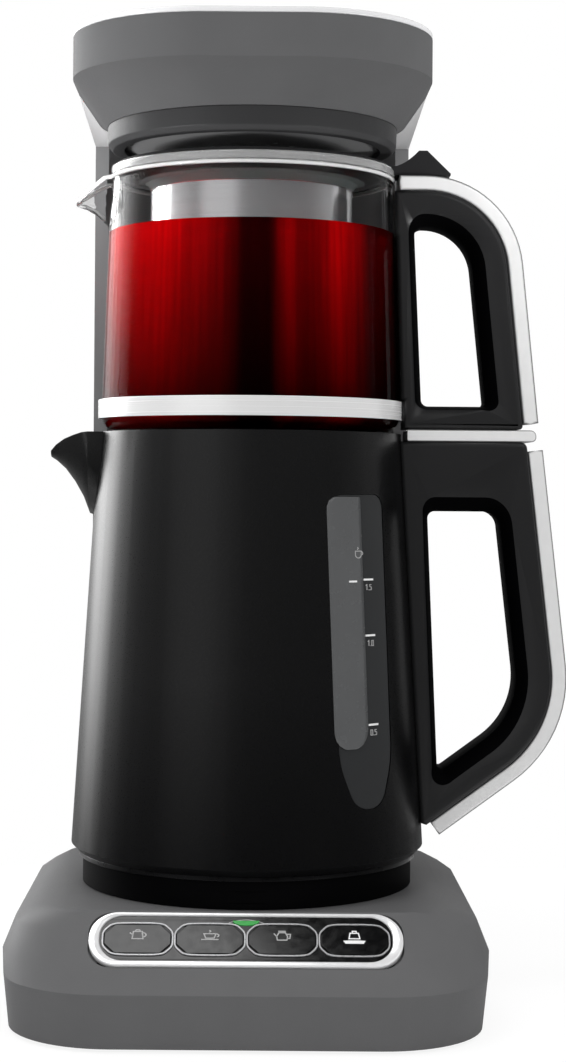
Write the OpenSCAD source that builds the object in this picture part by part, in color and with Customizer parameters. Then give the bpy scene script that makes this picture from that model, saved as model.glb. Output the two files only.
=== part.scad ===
// Automatic tea and coffee maker: an electric kettle with a glass teapot stacked on it,
// standing on a control base, with a water tower behind and a brewing head above.
// Origin on the counter under the kettle axis, front toward -Y, handles toward +X, +Z up.

/* [Base] */
// Width of the base at its widest
base_w = 197; // [184:1:220]
// Reach of the base in front of the kettle axis
base_front = 99; // [97:1:110]
// Reach of the base behind the kettle axis
base_back = 90; // [88:1:100]
// Plan radius of the front corners
base_front_r = 43; // [34:1:50]
// Plan radius of the rear corners
base_back_r = 25; // [12:1:30]
// Height of the base top above its underside
base_h = 48.5; // [45:0.5:54]
// Height of the front crease above the underside
crease_h = 21.5; // [18:0.5:23]
// Lean of the control slope from the level
panel_slope = 45; // [43:1:48]
// Drop of the top from its level middle to its rounded edge
crown_drop = 7.5; // [4:0.5:9]
// Width of the sloped shoulder along each side
shoulder_w = 26; // [22:1:27]
// Inward lean of the walls at the foot
base_taper = 3; // [1:0.5:5]
// Wall thickness of the grey shells
wall = 2.5; // [2:0.1:3]
// Thickness of the base plate
plate_t = 2.5; // [2:0.1:4]
// Radius of each rubber foot
foot_r = 9; // [6:0.5:11]
// Height of the feet below the base
foot_h = 1.5; // [1:0.1:3]
// Reach of a foot centre from the axis, sideways
foot_x = 66; // [55:1:70]
// Reach of a foot centre from the axis, front to back
foot_y = 64; // [50:1:66]
// Shank radius of the housing screws
screw_r = 1.5; // [1.2:0.1:1.8]
// Distance of the screw posts from the side of the base
post_side = 28.5; // [26:0.5:31]

/* [Control panel] */
// Room between the outer keys and the bright frame
panel_margin = 3; // [2.6:0.1:3.4]
// Height of the bright panel frame along the slope
panel_h = 24.5; // [23.5:0.1:25]
// Corner radius of the panel frame
panel_r = 9; // [6:0.5:10]
// Distance down the slope from its top edge to the middle of the panel
panel_drop = 13.4; // [13:0.1:15]
// Visible width of the frame around the plate
bezel_w = 3.2; // [2.8:0.1:3.4]
// Height of the frame above the slope
bezel_proud = 1.2; // [0.8:0.1:2]
// Width of a key
key_w = 26; // [22:0.5:26.3]
// Height of a key along the slope
key_h = 13; // [11:0.5:13.5]
// Corner cut of a key
key_cut = 4.2; // [2:0.1:5]
// Spacing of the keys
key_pitch = 28.2; // [28.1:0.1:28.5]
// Travel of a key when pressed
key_travel = 1; // [0.6:0.1:1.2]
// Width of the status light
light_w = 10.5; // [8:0.5:12]
// Height of the status light
light_h = 2.2; // [1.6:0.1:2.4]

/* [Coupling, pump and pipes] */
// Radius of the power coupling in the base top
coupling_r = 30; // [27:0.5:34]
// Radius of the raised coupling boss
boss_r = 15; // [13.5:0.5:16]
// Height of the coupling boss above the base top
boss_h = 4; // [3.6:0.1:5]
// Outer radius of the water port
port_r = 4; // [3.4:0.1:5]
// Bore radius of the water port and hoses
bore_r = 2.2; // [1.6:0.1:2.6]
// Radius of the pump chamber
pump_r = 19; // [17:0.5:21]
// Room between the pump chamber and the side of the base
pump_side = 28; // [24:1:32]
// Height of the pump chamber
pump_h = 16; // [14:0.5:17]
// Radius of the pump motor
motor_r = 14; // [11:0.5:16]
// Height of the pump motor
motor_h = 13; // [10:0.5:13.5]
// Outer radius of the hoses and the riser
hose_r = 4.5; // [3.6:0.1:5]
// Bore radius of the cord gland
gland_bore_r = 3.75; // [3:0.05:4.5]

/* [Tower] */
// Width of the tower
tower_w = 141; // [138:1:145]
// Gap between the kettle and the hollow front of the tower
tower_gap = 4; // [3:0.5:5]
// Width of the flat front edge of each side of the tower
tower_edge = 6; // [4:0.5:8]
// Distance of the tower back from the back of the base
tower_inset = 2; // [1:0.5:3]

/* [Kettle] */
// Radius of the black skirt under the kettle
skirt_r = 70; // [69:0.5:71]
// Height of the skirt
skirt_h = 11.2; // [11:0.2:14]
// Height of the bright ring between skirt and body
ring_h = 2; // [1.2:0.1:3]
// Radius of the body at its widest, near the bottom
kettle_bottom_r = 75; // [74.5:0.5:77]
// Radius of the body at its top
kettle_top_r = 64.5; // [64:0.5:66]
// Height of the body
kettle_h = 177; // [172:1:186]
// Chamfer at the bottom edge of the body
kettle_chamfer = 3; // [2:0.1:3.4]
// Wall thickness of the body
kettle_wall = 2; // [1.6:0.1:2.4]
// Reach of the spout tip from the axis
spout_reach = 85; // [82:0.5:90]
// Half width of the spout where it leaves the body
spout_half_w = 19; // [14:0.5:22]
// Direction of the level window, from the front toward the handle
window_angle = 42.5; // [35:0.5:46]
// Width of the level window
window_w = 30; // [22:0.5:34]
// Height of the level window
window_h = 127; // [100:1:132]
// Height of the window's lower end above the bottom of the body
window_low = 24.5; // [20:0.5:30]

/* [Kettle handle] */
// Reach of the handle's top corner from the axis
kh_top_reach = 117.2; // [113:0.2:121]
// Reach of the handle's elbow from the axis
kh_reach = 131.2; // [127:0.2:135]
// Height of the elbow above the bottom of the body
kh_elbow_z = 52; // [48:0.5:60]
// Radius of the elbow
kh_elbow_r = 47; // [40:0.5:52]
// Height of the handle's lower end above the bottom of the body
kh_low_z = 11.5; // [8:0.5:16]
// Thickness of the grip
kh_grip = 14.6; // [13:0.2:17]
// Height of the top block
kh_top_h = 29.5; // [24:0.5:34]
// Thickness of the column along the body
kh_column = 9; // [7:0.5:11]
// Width of the handle, front to back
kh_w = 27; // [22:0.5:30]
// Thickness of the bright strip
kh_trim_t = 6.6; // [5:0.1:7.4]
// Thickness of the bright cap on top
kh_cap_t = 5; // [3.6:0.1:5.2]

/* [Teapot] */
// Outer radius of the glass near its bottom
pot_bottom_r = 64; // [63:0.5:64.5]
// Outer radius of the glass at its rim
pot_top_r = 60.3; // [59.5:0.1:62]
// Height of the glass
pot_h = 108; // [104:1:114]
// Wall thickness of the glass
glass_t = 2.4; // [2:0.1:3]
// Radius of the bottom corner of the glass
pot_corner = 6; // [4.5:0.5:8]
// Reach of the pouring lip from the axis
lip_reach = 75; // [72:0.5:80]
// Half width of the lip where it leaves the glass
lip_half_w = 15; // [10:0.5:18]
// Height of the steel band above the bottom of the glass
band_low = 4.8; // [4:0.2:6]
// Height of the steel band
band_h = 8; // [6:0.2:9]
// Thickness of the steel band
band_t = 0.9; // [0.6:0.1:1.2]
// Radius of the infuser basket
infuser_r = 43; // [38:0.5:46]
// Sheet thickness of the infuser
infuser_t = 0.6; // [0.5:0.1:1]
// Clear height under the infuser basket
infuser_low = 24; // [16:1:34]
// Height of the lid edge
lid_h = 4.4; // [3:0.1:5]
// Radius of the lid
lid_r = 59.5; // [57:0.5:60]
// Width of the thumb tab on the lid
tab_w = 17; // [12:0.5:22]

/* [Teapot handle] */
// Reach of the handle's shoulder from the axis
th_top_reach = 105.4; // [102:0.2:109]
// Reach of the handle's lower end from the axis
th_reach = 115.8; // [111:0.2:119]
// Radius of the shoulder
th_r = 35; // [32:0.5:35.5]
// Thickness of the grip
th_grip = 14.6; // [13:0.2:17]
// Thickness of the column along the glass
th_column = 8; // [7.5:0.5:9.5]
// Drop of the handle's top below the rim
th_drop = 5.6; // [5:0.2:6.6]
// Height of the handle's lower end above the bottom of the glass
th_low = 2.6; // [2:0.2:4]
// Height of the lower bar
th_bar = 8.4; // [7:0.2:11]
// Width of the handle, front to back
th_w = 25; // [20:0.5:28]
// Thickness of the bright strip
th_trim_t = 6.7; // [5:0.1:7]

/* [Brewing head] */
// Clear height between the lid and the head
head_gap = 6.4; // [6.1:0.1:9]
// Width of the head
head_w = 150.6; // [148:0.2:158]
// Reach of the head in front of the kettle axis
head_front = 75; // [72:0.5:80]
// Plan radius of the front corners
head_front_r = 56; // [48:0.5:60]
// Reach of the pale underside in front of the tower
wing_reach = 36; // [24:1:38]
// Plan radius of the rear corners
head_back_r = 14; // [8:0.5:20]
// Height of the dark neck
neck_h = 9.7; // [8:0.1:12]
// Radius of the neck where it leaves the head
neck_r = 61.8; // [60:0.2:64]
// Height of the sloped part of the head
funnel_h = 17; // [14:0.5:20]
// Height of the upright wall of the head
head_wall_h = 17; // [14:0.5:22]
// Height of the bright rim
rim_h = 2.5; // [2:0.1:4]
// Width of the bright rim
rim_w = 4; // [3:0.1:5]

/* [Hidden] */
$fn = 96;
hull_fn = 64;
thin = 0.3;
fit = 0.15;
seat_gap = 0.3;
w2 = base_w / 2;
z_under = foot_h;
z_plate = z_under + plate_t;
z_crease = z_under + crease_h;
z_top = z_under + base_h;
z_edge = z_top - crown_drop;
z_roof = z_top - wall;
slope_tan = tan(panel_slope);
top_front = base_front - (z_top - z_crease) / slope_tan;
panel_y = -top_front - panel_drop * cos(panel_slope);
panel_z = z_top - panel_drop * sin(panel_slope);

tower_back_y = base_back - tower_inset;
tower_hollow_r = kettle_bottom_r + tower_gap;
tower_front_y = sqrt(tower_hollow_r ^ 2 - (tower_w / 2 - tower_edge) ^ 2);
riser_x = tower_w / 3;
riser_y = tower_back_y - wall - hose_r - 3;
tower_post_x = tower_w / 2 - 12;
tower_post_y = sqrt(tower_hollow_r ^ 2 - tower_post_x ^ 2) + 13;
tower_post_z = [60, 260];
feet = [[-foot_x, -foot_y], [foot_x, -foot_y], [-foot_x, foot_y], [foot_x, foot_y], [0, 0]];

z_skirt = z_top + seat_gap;
z_ring = z_skirt + skirt_h;
z_body = z_ring + ring_h;
z_wide = z_body + kettle_chamfer;
z_kettle = z_body + kettle_h;
spigot_r = skirt_r - 2.4;
plate_z = z_body + 3;
hot_t = 1.5;
socket_r = coupling_r - 3;
z_boss = z_top + boss_h;
z_port = z_boss + 0.8;
z_port_low = z_roof - 12;
z_socket = z_boss + 2.2;
valve_lift = 2;
stem_r = 2.2;
pocket_h = 5.4;
valve_z = z_port + seat_gap;

gasket_proud = 0.6;
top_ring_t = 4;
mouth_r = 42;
z_pot = z_kettle + gasket_proud + seat_gap;
z_rim = z_pot + pot_h;
z_lid = z_rim + infuser_t;
z_lid_top = z_lid + lid_h;
z_band = z_pot + band_low;
band_r = pot_bottom_r + 0.15;

z_neck = z_lid_top + head_gap;
z_funnel = z_neck + neck_h;
z_wall = z_funnel + funnel_h;
z_brim = z_wall + head_wall_h;
h2 = head_w / 2;
pump_at = [pump_r + pump_side - w2, 30];
motor_z = z_plate + pump_h;
gland_x = tower_w / 2 - 6.5;
gland_z = z_under + crease_h * 0.55;
posts = [for (y = [-38, 48], s = [-1, 1]) [s * (w2 - post_side), y]];
panel_w = 3 * key_pitch + key_w + 2 * (bezel_w + panel_margin);
key_x = [for (i = [0:3]) (i - 1.5) * key_pitch];
key_out = 0.8;
board_w = 3 * key_pitch + key_w - 2.6;
key_stem = 4.6;
light_y = (panel_h - 2 * bezel_w) / 2 - light_h / 2 - 0.25;

grey = [0.42, 0.42, 0.43];
pale = [0.74, 0.74, 0.75];
black = [0.06, 0.06, 0.065];
steel = [0.78, 0.78, 0.8];
chrome = [0.88, 0.88, 0.9];

// Helpers for outlines and bent forms

function unit(v) = v / norm(v);
function left(v) = [-v[1], v[0]];
function cross2(a, b) = a[0] * b[1] - a[1] * b[0];
function shifted(p, q, d) = [p + left(unit(q - p)) * d, q + left(unit(q - p)) * d];
function meet(a, b) =
    let (u = a[1] - a[0], v = b[1] - b[0])
    a[0] + u * cross2(b[0] - a[0], v) / cross2(u, v);

// The arc that rounds the corner q between p and s
function corner(p, q, s, r, n = 14) =
    let (
        a = unit(p - q),
        b = unit(s - q),
        half = acos(a * b) / 2,
        mid = q + unit(a + b) * (r / sin(half)),
        from = q + a * (r / tan(half)) - mid,
        side = sign(cross2(q - p, s - q)),
        turn = (180 - 2 * half) * side
    )
    [for (i = [0:n])
        let (t = turn * i / n)
        mid + [from[0] * cos(t) - from[1] * sin(t), from[0] * sin(t) + from[1] * cos(t)]];

// A closed outline of [x, y, radius] points
function rounded(pts) =
    let (n = len(pts))
    [for (i = [0:n - 1])
        let (q = pts[i], p = pts[(i + n - 1) % n], s = pts[(i + 1) % n])
        each (q[2] > 0
            ? corner([p[0], p[1]], [q[0], q[1]], [s[0], s[1]], q[2])
            : [[q[0], q[1]]])];

// A band of thickness t on the left of a path a, b, c that is rounded at b
function bent_band(a, b, c, r, t) =
    let (o1 = shifted(a, b, t), o2 = shifted(b, c, t), m = meet(o1, o2))
    concat(
        [o1[0]],
        corner(o1[0], m, o2[1], r + t),
        [o2[1], c],
        [for (i = [14:-1:0]) corner(a, b, c, r)[i]],
        [a]
    );

// A solid through a row of rings that have equal numbers of points
module loft(rings) {
    n = len(rings[0]);
    m = len(rings);
    sides = [for (i = [0:m - 2], j = [0:n - 1])
        let (a = i * n + j, b = i * n + (j + 1) % n)
        each [[a, b + n, b], [a, a + n, b + n]]];
    first = [for (j = [1:n - 2]) [0, j, j + 1]];
    last = [for (j = [1:n - 2]) [(m - 1) * n, (m - 1) * n + j + 1, (m - 1) * n + j]];
    polyhedron(points = [for (r = rings) each r], faces = concat(first, sides, last));
}

// A path with each corner cut back by c, so that a hose bends and doesn't fold
function softened(path, c) =
    let (n = len(path))
    [for (i = [0:n - 1])
        each (i == 0 || i == n - 1
            ? [path[i]]
            : [path[i] + unit(path[i - 1] - path[i]) * c, path[i] + unit(path[i + 1] - path[i]) * c])];

// The ring of a round hose at point i of its path
function hose_ring(path, r, i) =
    let (t = unit(path[max(i, 1)] - path[max(i, 1) - 1]))
    i == 0
        ? let (a = unit(cross(t, abs(t[2]) > 0.9 ? [1, 0, 0] : [0, 0, 1])), b = cross(t, a))
            [for (k = [0:15]) path[0] + (a * cos(22.5 * k) + b * sin(22.5 * k)) * r]
        : let (
            on = i < len(path) - 1 ? unit(path[i + 1] - path[i]) : t,
            n = unit(t + on)
        )
            [for (q = hose_ring(path, r, i - 1)) q + t * (((path[i] - q) * n) / (t * n))];

// A hollow hose along a row of points, cut square at both ends
module hose(path) {
    last = len(path) - 1;
    out = softened(path, hose_r * 1.6);
    ends = [for (i = [0:last])
        i == 0 ? path[0] - unit(path[1] - path[0])
            : i == last ? path[last] + unit(path[last] - path[last - 1]) : path[i]];
    inner = softened(ends, hose_r * 1.6);
    difference() {
        loft([for (i = [0:len(out) - 1]) hose_ring(out, hose_r, i)]);
        loft([for (i = [0:len(inner) - 1]) hose_ring(inner, bore_r, i)]);
    }
}

// A plate of the given outline that stands in the XZ plane, centred on Y
module upright(w) {
    translate([0, w / 2, 0]) rotate([90, 0, 0]) linear_extrude(w) children();
}

module ring(r_out, r_in, z, h) {
    translate([0, 0, z]) difference() {
        cylinder(r = r_out, h = h);
        translate([0, 0, -1]) cylinder(r = r_in, h = h + 2);
    }
}

module four_discs(half_w, front, back, rf, rb, z) {
    for (s = [-1, 1]) {
        translate([s * (half_w - rf), rf - front, z - thin])
            cylinder(r = rf, h = thin, $fn = hull_fn);
        translate([s * (half_w - rb), back - rb, z - thin])
            cylinder(r = rb, h = thin, $fn = hull_fn);
    }
}

// A plan outline with its own corner radii in front and behind
module plan(half_w, front, back, rf, rb) {
    translate([rf - half_w, -front]) square([2 * (half_w - rf), front]);
    translate([-half_w, rf - front]) square([2 * half_w, front - rf + back - rb]);
    translate([rb - half_w, 0]) square([2 * (half_w - rb), back]);
    for (s = [-1, 1]) {
        translate([s * (half_w - rf), rf - front]) circle(r = rf);
        translate([s * (half_w - rb), back - rb]) circle(r = rb);
    }
}

// The outside of the base, or its hollow when moved in by a wall
module base_form(i = 0, low = z_under) {
    front_at = function (z) base_front - (z - z_crease) / slope_tan;
    z_wide_side = z_crease + 8;
    flat = w2 - shoulder_w;
    round_at = function (t) [
        w2 - 4.5 - (shoulder_w - 4.5) * t, z_edge + crown_drop * (1 - (1 - t) ^ 2),
        base_front_r - 7 - (base_front_r - 21) * t
    ];
    hull() {
        four_discs(w2 - base_taper - i, base_front - base_taper - i, base_back - i,
            base_front_r - i, base_back_r - i, low + thin);
        four_discs(w2 - i - 1.2, base_front - i, base_back - i,
            base_front_r - i, base_back_r - i, z_crease);
        four_discs(w2 - i, front_at(z_wide_side) - i, base_back - i,
            base_front_r - i, base_back_r - i, z_wide_side);
        for (t = [0, 0.25, 0.55])
            let (q = round_at(t))
            four_discs(q[0] - i, front_at(q[1]) - i, base_back - 1 - t - i, q[2] - i,
                base_back_r - 16 * t - i, q[1] - i);
        four_discs(flat - i, top_front - i, base_back - 2 - i, 14 - i, 9 - i, z_top - i);
    }
}

module on_slope() {
    translate([0, panel_y, panel_z]) rotate([panel_slope, 0, 0]) children();
}

module soft_plate(w, h, r, z0, z1) {
    translate([0, 0, z0]) linear_extrude(z1 - z0) {
        square([w - 2 * r, h], center = true);
        square([w, h - 2 * r], center = true);
        for (x = [-1, 1], y = [-1, 1])
            translate([x * (w / 2 - r), y * (h / 2 - r)]) circle(r = r, $fn = 48);
    }
}

module key_outline(grow) {
    x = key_w / 2 + grow;
    y = key_h / 2 + grow;
    c = key_cut + grow * 0.6;
    polygon([
        [x, y - c], [x - c, y], [c - x, y], [-x, y - c],
        [-x, c - y], [c - x, -y], [x - c, -y], [x, c - y]
    ]);
}

// Base and control panel

module base_shell() {
    color(grey) {
        difference() {
            base_form();
            base_form(wall, z_under - 1);
            on_slope() {
                soft_plate(panel_w + 2 * fit, panel_h + 2 * fit, panel_r + fit, -2, 9);
                soft_plate(panel_w - 3.4, panel_h - 3.4, panel_r - 1.7, -9, 0);
            }
            translate([0, 0, z_roof - 1]) cylinder(r = coupling_r + fit, h = wall + 2);
            translate([riser_x, riser_y, z_roof - 1]) cylinder(r = hose_r + 0.5, h = wall + 2);
            translate([gland_x, base_back - wall - 2, gland_z])
                rotate([-90, 0, 0]) cylinder(r = gland_bore_r + 3.1, h = wall + 4);
            for (s = [-1, 1])
                translate([s * tower_post_x, tower_post_y, z_roof - 1])
                    cylinder(r = screw_r + 0.2, h = wall + 2);
        }
        for (p = posts)
            translate([p[0], p[1], z_plate])
                difference() {
                    cylinder(r = 4, h = z_roof + 0.5 - z_plate);
                    translate([0, 0, -1]) cylinder(r = screw_r + 0.1, h = 13);
                }
    }
}

module base_plate() {
    gap = wall + seat_gap;
    color(black) difference() {
        translate([0, 0, z_under]) linear_extrude(plate_t)
            plan(w2 - base_taper - gap, base_front - base_taper - gap, base_back - gap,
                base_front_r - gap, base_back_r - gap);
        for (p = feet)
            translate([p[0], p[1], z_under - 1]) cylinder(r = foot_r + fit, h = 2);
        for (p = posts)
            translate([p[0], p[1], z_under - 1]) {
                cylinder(r = screw_r + 0.2, h = plate_t + 2);
                cylinder(r = screw_r * 2 + 0.2, h = 2.3);
            }
    }
}

module base_feet() {
    color([0.09, 0.09, 0.09])
        for (p = feet)
            translate([p[0], p[1], 0]) {
                cylinder(r1 = foot_r - 0.6, r2 = foot_r, h = foot_h);
                translate([0, 0, foot_h]) cylinder(r = foot_r, h = 1);
            }
}

module base_screws() {
    color(steel)
        for (p = posts)
            translate([p[0], p[1], z_under]) {
                cylinder(r = screw_r * 2, h = 1.3);
                cylinder(r = screw_r, h = plate_t + 9);
            }
}

module panel_bezel() {
    in_w = panel_w - 2 * bezel_w;
    in_h = panel_h - 2 * bezel_w;
    in_r = panel_r - bezel_w;
    color(chrome) on_slope() difference() {
        union() {
            soft_plate(panel_w, panel_h, panel_r, -2, bezel_proud);
            soft_plate(panel_w - 3.8, panel_h - 3.8, panel_r - 1.9, -4, -1);
        }
        soft_plate(in_w, in_h, in_r, -5, bezel_proud + 1);
        soft_plate(in_w + 2.2, in_h + 2.2, in_r + 1.1, -5, -0.8);
    }
}

module panel_plate() {
    in_w = panel_w - 2 * bezel_w;
    in_h = panel_h - 2 * bezel_w;
    in_r = panel_r - bezel_w;
    color([0.03, 0.03, 0.035]) on_slope() {
        difference() {
            union() {
                soft_plate(in_w - 2 * fit, in_h - 2 * fit, in_r - fit, -2, 0.4);
                soft_plate(in_w + 1.8, in_h + 1.8, in_r + 0.9, -2.8, -0.9);
            }
            for (x = key_x)
                translate([x, 0, -4]) linear_extrude(8) key_outline(0.25);
            translate([-light_w / 2 - fit, light_y - light_h / 2 - fit, -4])
                cube([light_w + 2 * fit, light_h + 2 * fit, 8]);
        }
        for (x = [-1, 1], y = [-1, 1])
            translate([x * key_pitch, y * (in_h / 2 - 0.4), -9.4]) cylinder(r = 0.9, h = 7);
    }
}

module one_key(i) {
    color([0.08, 0.08, 0.085]) on_slope() translate([key_x[i], 0, 0]) {
        translate([0, 0, -3]) linear_extrude(3.9) key_outline(0);
        translate([0, 0, -3.8]) linear_extrude(0.9) key_outline(key_out);
        translate([0, 0, -key_stem]) cylinder(r = 2, h = 2);
    }
}

module key_boil() {
    one_key(0);
}

module key_tea() {
    one_key(1);
}

module key_coffee() {
    one_key(2);
}

module key_warm() {
    one_key(3);
}

module status_light() {
    color([0.1, 0.85, 0.25]) on_slope() {
        translate([-light_w / 2, light_y - light_h / 2, -2.8]) cube([light_w, light_h, 3.3]);
        translate([-light_w / 2 - 1, key_h / 2 + key_out + 0.2, -3.8])
            cube([light_w + 2, light_h - 0.6, 1]);
    }
}

module control_board() {
    color([0.05, 0.3, 0.12]) on_slope()
        translate([-board_w / 2, -(panel_h - 4) / 2, -11]) cube([board_w, panel_h - 4, 1.6]);
}

module key_switches() {
    color([0.2, 0.2, 0.22]) on_slope()
        for (x = key_x)
            translate([x, 0, -9.4]) {
                translate([-3, -3, 0]) cube([6, 6, 2.8]);
                cylinder(r = 1.6, h = 9.4 - key_stem - key_travel - 0.15);
            }
}

// Coupling, pump, hoses and cord gland

module power_coupling() {
    color(black) difference() {
        union() {
            translate([0, 0, z_roof - 3]) cylinder(r = coupling_r + 4, h = 3);
            translate([0, 0, z_roof - 3]) cylinder(r = coupling_r, h = wall + 3);
            translate([0, 0, z_roof]) cylinder(r = boss_r, h = wall + boss_h);
        }
        translate([0, 0, z_roof - 4]) cylinder(r = port_r + 0.1, h = wall + boss_h + 6);
        ring(23.2, 20.8, z_top - 1, 3);
    }
}

module coupling_contacts() {
    color([0.8, 0.62, 0.25]) {
        ring(23, 21, z_top - 1, 1.2);
        ring(port_r + 6.4, port_r + 4.4, z_boss, 0.4);
    }
}

module water_port() {
    color([0.85, 0.85, 0.82]) difference() {
        union() {
            translate([0, 0, z_port_low]) cylinder(r = port_r, h = z_port - z_port_low);
            translate([0, 0, z_roof - 5]) cylinder(r = port_r + 3, h = 2);
        }
        translate([0, 0, z_port_low - 1]) cylinder(r = bore_r, h = z_port - z_port_low + 2);
    }
}

module pump_body() {
    inner = pump_r - 2;
    color([0.16, 0.16, 0.17])
        translate([pump_at[0], pump_at[1], z_plate]) difference() {
            union() {
                cylinder(r = pump_r, h = pump_h);
                translate([0, 0, pump_h / 2]) rotate([0, 90, atan2(-pump_at[1], -pump_at[0])])
                    cylinder(r = 3.4, h = pump_r + 6);
                translate([0, 0, pump_h / 2]) rotate([-90, 0, 0])
                    cylinder(r = 3.4, h = pump_r + 6);
            }
            translate([0, 0, 2]) cylinder(r = inner, h = pump_h - 4);
            translate([0, 0, 4]) cylinder(r = 2.2, h = pump_h);
            translate([0, 0, pump_h / 2]) rotate([0, 90, atan2(-pump_at[1], -pump_at[0])])
                cylinder(r = bore_r, h = pump_r + 7);
            translate([0, 0, pump_h / 2]) rotate([-90, 0, 0])
                cylinder(r = bore_r, h = pump_r + 7);
        }
}

module pump_motor() {
    color([0.55, 0.55, 0.57])
        translate([pump_at[0], pump_at[1], motor_z]) difference() {
            cylinder(r = motor_r, h = motor_h);
            translate([0, 0, -1]) cylinder(r = 2.2, h = 7);
        }
}

module pump_impeller() {
    color([0.9, 0.9, 0.88])
        translate([pump_at[0], pump_at[1], z_plate]) {
            translate([0, 0, 3]) cylinder(r = pump_r - 4, h = 1.4);
            translate([0, 0, 3]) cylinder(r = 4, h = pump_h - 7);
            translate([0, 0, 3]) cylinder(r = 2, h = pump_h + 1);
            for (a = [0:60:300])
                rotate(a) translate([3, -0.6, 3]) cube([pump_r - 8, 1.2, pump_h - 7]);
        }
}

module inlet_hose() {
    away = unit([-pump_at[0], -pump_at[1]]);
    mid_z = z_plate + pump_h / 2;
    start = pump_r + 6.2;
    color([0.8, 0.8, 0.78]) hose([
        [pump_at[0] + away[0] * start, pump_at[1] + away[1] * start, mid_z],
        [0, 0, mid_z], [0, 0, z_port_low - 0.2]
    ]);
}

module riser_pipe() {
    mid_z = z_plate + pump_h / 2;
    top = z_wall + 3;
    color([0.8, 0.8, 0.78]) hose([
        [pump_at[0], pump_at[1] + pump_r + 6.2, mid_z], [pump_at[0], riser_y, mid_z],
        [riser_x, riser_y, mid_z], [riser_x, riser_y, top], [0, 0, top],
        [0, 0, z_neck + 14.2]
    ]);
}

module cord_gland() {
    color(black) translate([gland_x, base_back, gland_z]) rotate([-90, 0, 0])
        difference() {
            union() {
                translate([0, 0, -wall - 4]) cylinder(r = gland_bore_r + 3, h = wall + 4);
                cylinder(r = gland_bore_r + 4.5, h = 1.6);
                translate([0, 0, -wall - 6]) cylinder(r = gland_bore_r + 4, h = 2);
            }
            translate([0, 0, -wall - 7]) cylinder(r = gland_bore_r, h = wall + 10);
        }
}

// Tower

module tower_plan(i) {
    t2 = tower_w / 2 - i;
    low = tower_front_y + i;
    difference() {
        translate([-t2, low]) square([2 * t2, tower_back_y - low + i]);
        circle(r = tower_hollow_r + i);
    }
}

module tower_front() {
    h = z_funnel - z_top;
    color(grey) translate([0, 0, z_top]) difference() {
        union() {
            difference() {
                linear_extrude(h) tower_plan(0);
                translate([0, 0, -1]) linear_extrude(h - 3) tower_plan(wall);
            }
            intersection() {
                linear_extrude(h) tower_plan(wall / 2);
                union() {
                    for (s = [-1, 1]) {
                        translate([s * tower_post_x - 5, 0, 0]) cube([10, tower_post_y + 6, 9]);
                        for (z = tower_post_z)
                            translate([s * tower_post_x, tower_hollow_r / 2, z]) rotate([-90, 0, 0])
                                cylinder(r = 4, h = tower_back_y - wall - tower_hollow_r / 2);
                    }
                }
            }
        }
        translate([riser_x, riser_y, h - 6]) cylinder(r = hose_r + 0.5, h = 9);
        for (s = [-1, 1]) {
            translate([s * tower_post_x, tower_post_y, -1]) cylinder(r = screw_r + 0.1, h = 8);
            for (z = tower_post_z)
                translate([s * tower_post_x, tower_back_y - wall - 10, z]) rotate([-90, 0, 0])
                    cylinder(r = screw_r + 0.1, h = 12);
        }
    }
}

module tower_back() {
    t2 = tower_w / 2 - wall - fit;
    color(grey) difference() {
        translate([-t2, tower_back_y - wall, z_top]) cube([2 * t2, wall, z_funnel - z_top - 4.2]);
        for (s = [-1, 1], z = tower_post_z)
            translate([s * tower_post_x, tower_back_y - wall - 1, z_top + z]) rotate([-90, 0, 0]) {
                cylinder(r = screw_r + 0.2, h = wall + 2);
                translate([0, 0, wall - 0.4]) cylinder(r = 2 * screw_r + 0.2, h = 3);
            }
    }
}

module tower_screws() {
    color(steel)
        for (s = [-1, 1]) {
            translate([s * tower_post_x, tower_post_y, z_roof - 1.4]) {
                cylinder(r = screw_r, h = wall + 7);
                cylinder(r = screw_r * 2, h = 1.4);
            }
            for (z = tower_post_z)
                translate([s * tower_post_x, tower_back_y, z_top + z]) rotate([90, 0, 0]) {
                    cylinder(r = screw_r, h = wall + 8);
                    cylinder(r = screw_r * 2, h = 1.2);
                }
        }
}

// Brewing head

module head_outline(i, z) {
    four_discs(h2 - i, head_front - i, tower_back_y + 1 - i, head_front_r - i,
        head_back_r - i, z);
}

module head_slab(i, z, h) {
    translate([0, 0, z]) linear_extrude(h)
        plan(h2 - i, head_front - i, tower_back_y + 1 - i, head_front_r - i, head_back_r - i);
}

module funnel_form(i, low) {
    hull() {
        head_outline(i, z_wall);
        translate([0, 0, low]) cylinder(r = neck_r + 0.2 - i, h = thin, $fn = hull_fn);
    }
}

module head_shell() {
    color(grey) difference() {
        union() {
            funnel_form(0, z_funnel);
            head_slab(0, z_wall, head_wall_h);
        }
        funnel_form(wall, z_funnel + 1.5);
        head_slab(wall, z_wall - thin / 2, head_wall_h + 2);
        translate([0, 0, z_funnel - 1]) cylinder(r = neck_r - 2.6 + fit, h = 6);
        translate([riser_x, riser_y, z_funnel]) cylinder(r = hose_r + 0.5, h = funnel_h);
    }
}

module head_wings() {
    t2 = tower_w / 2;
    low = tower_front_y;
    color(pale) difference() {
        hull() {
            translate([-t2, low, z_funnel])
                cube([tower_w, tower_back_y - low, thin]);
            translate([-h2, low - wing_reach, z_wall - thin])
                cube([head_w, tower_back_y + 1 - low + wing_reach - head_back_r, thin]);
            translate([-h2 + head_back_r, low, z_wall - thin])
                cube([head_w - 2 * head_back_r, tower_back_y + 1 - low, thin]);
        }
        funnel_form(-0.05, z_funnel - 0.2);
        translate([0, 0, z_funnel - 1]) cylinder(r = neck_r + 1, h = 8);
        translate([riser_x, riser_y, z_funnel - 1]) cylinder(r = hose_r + 0.5, h = funnel_h);
    }
}

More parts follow.
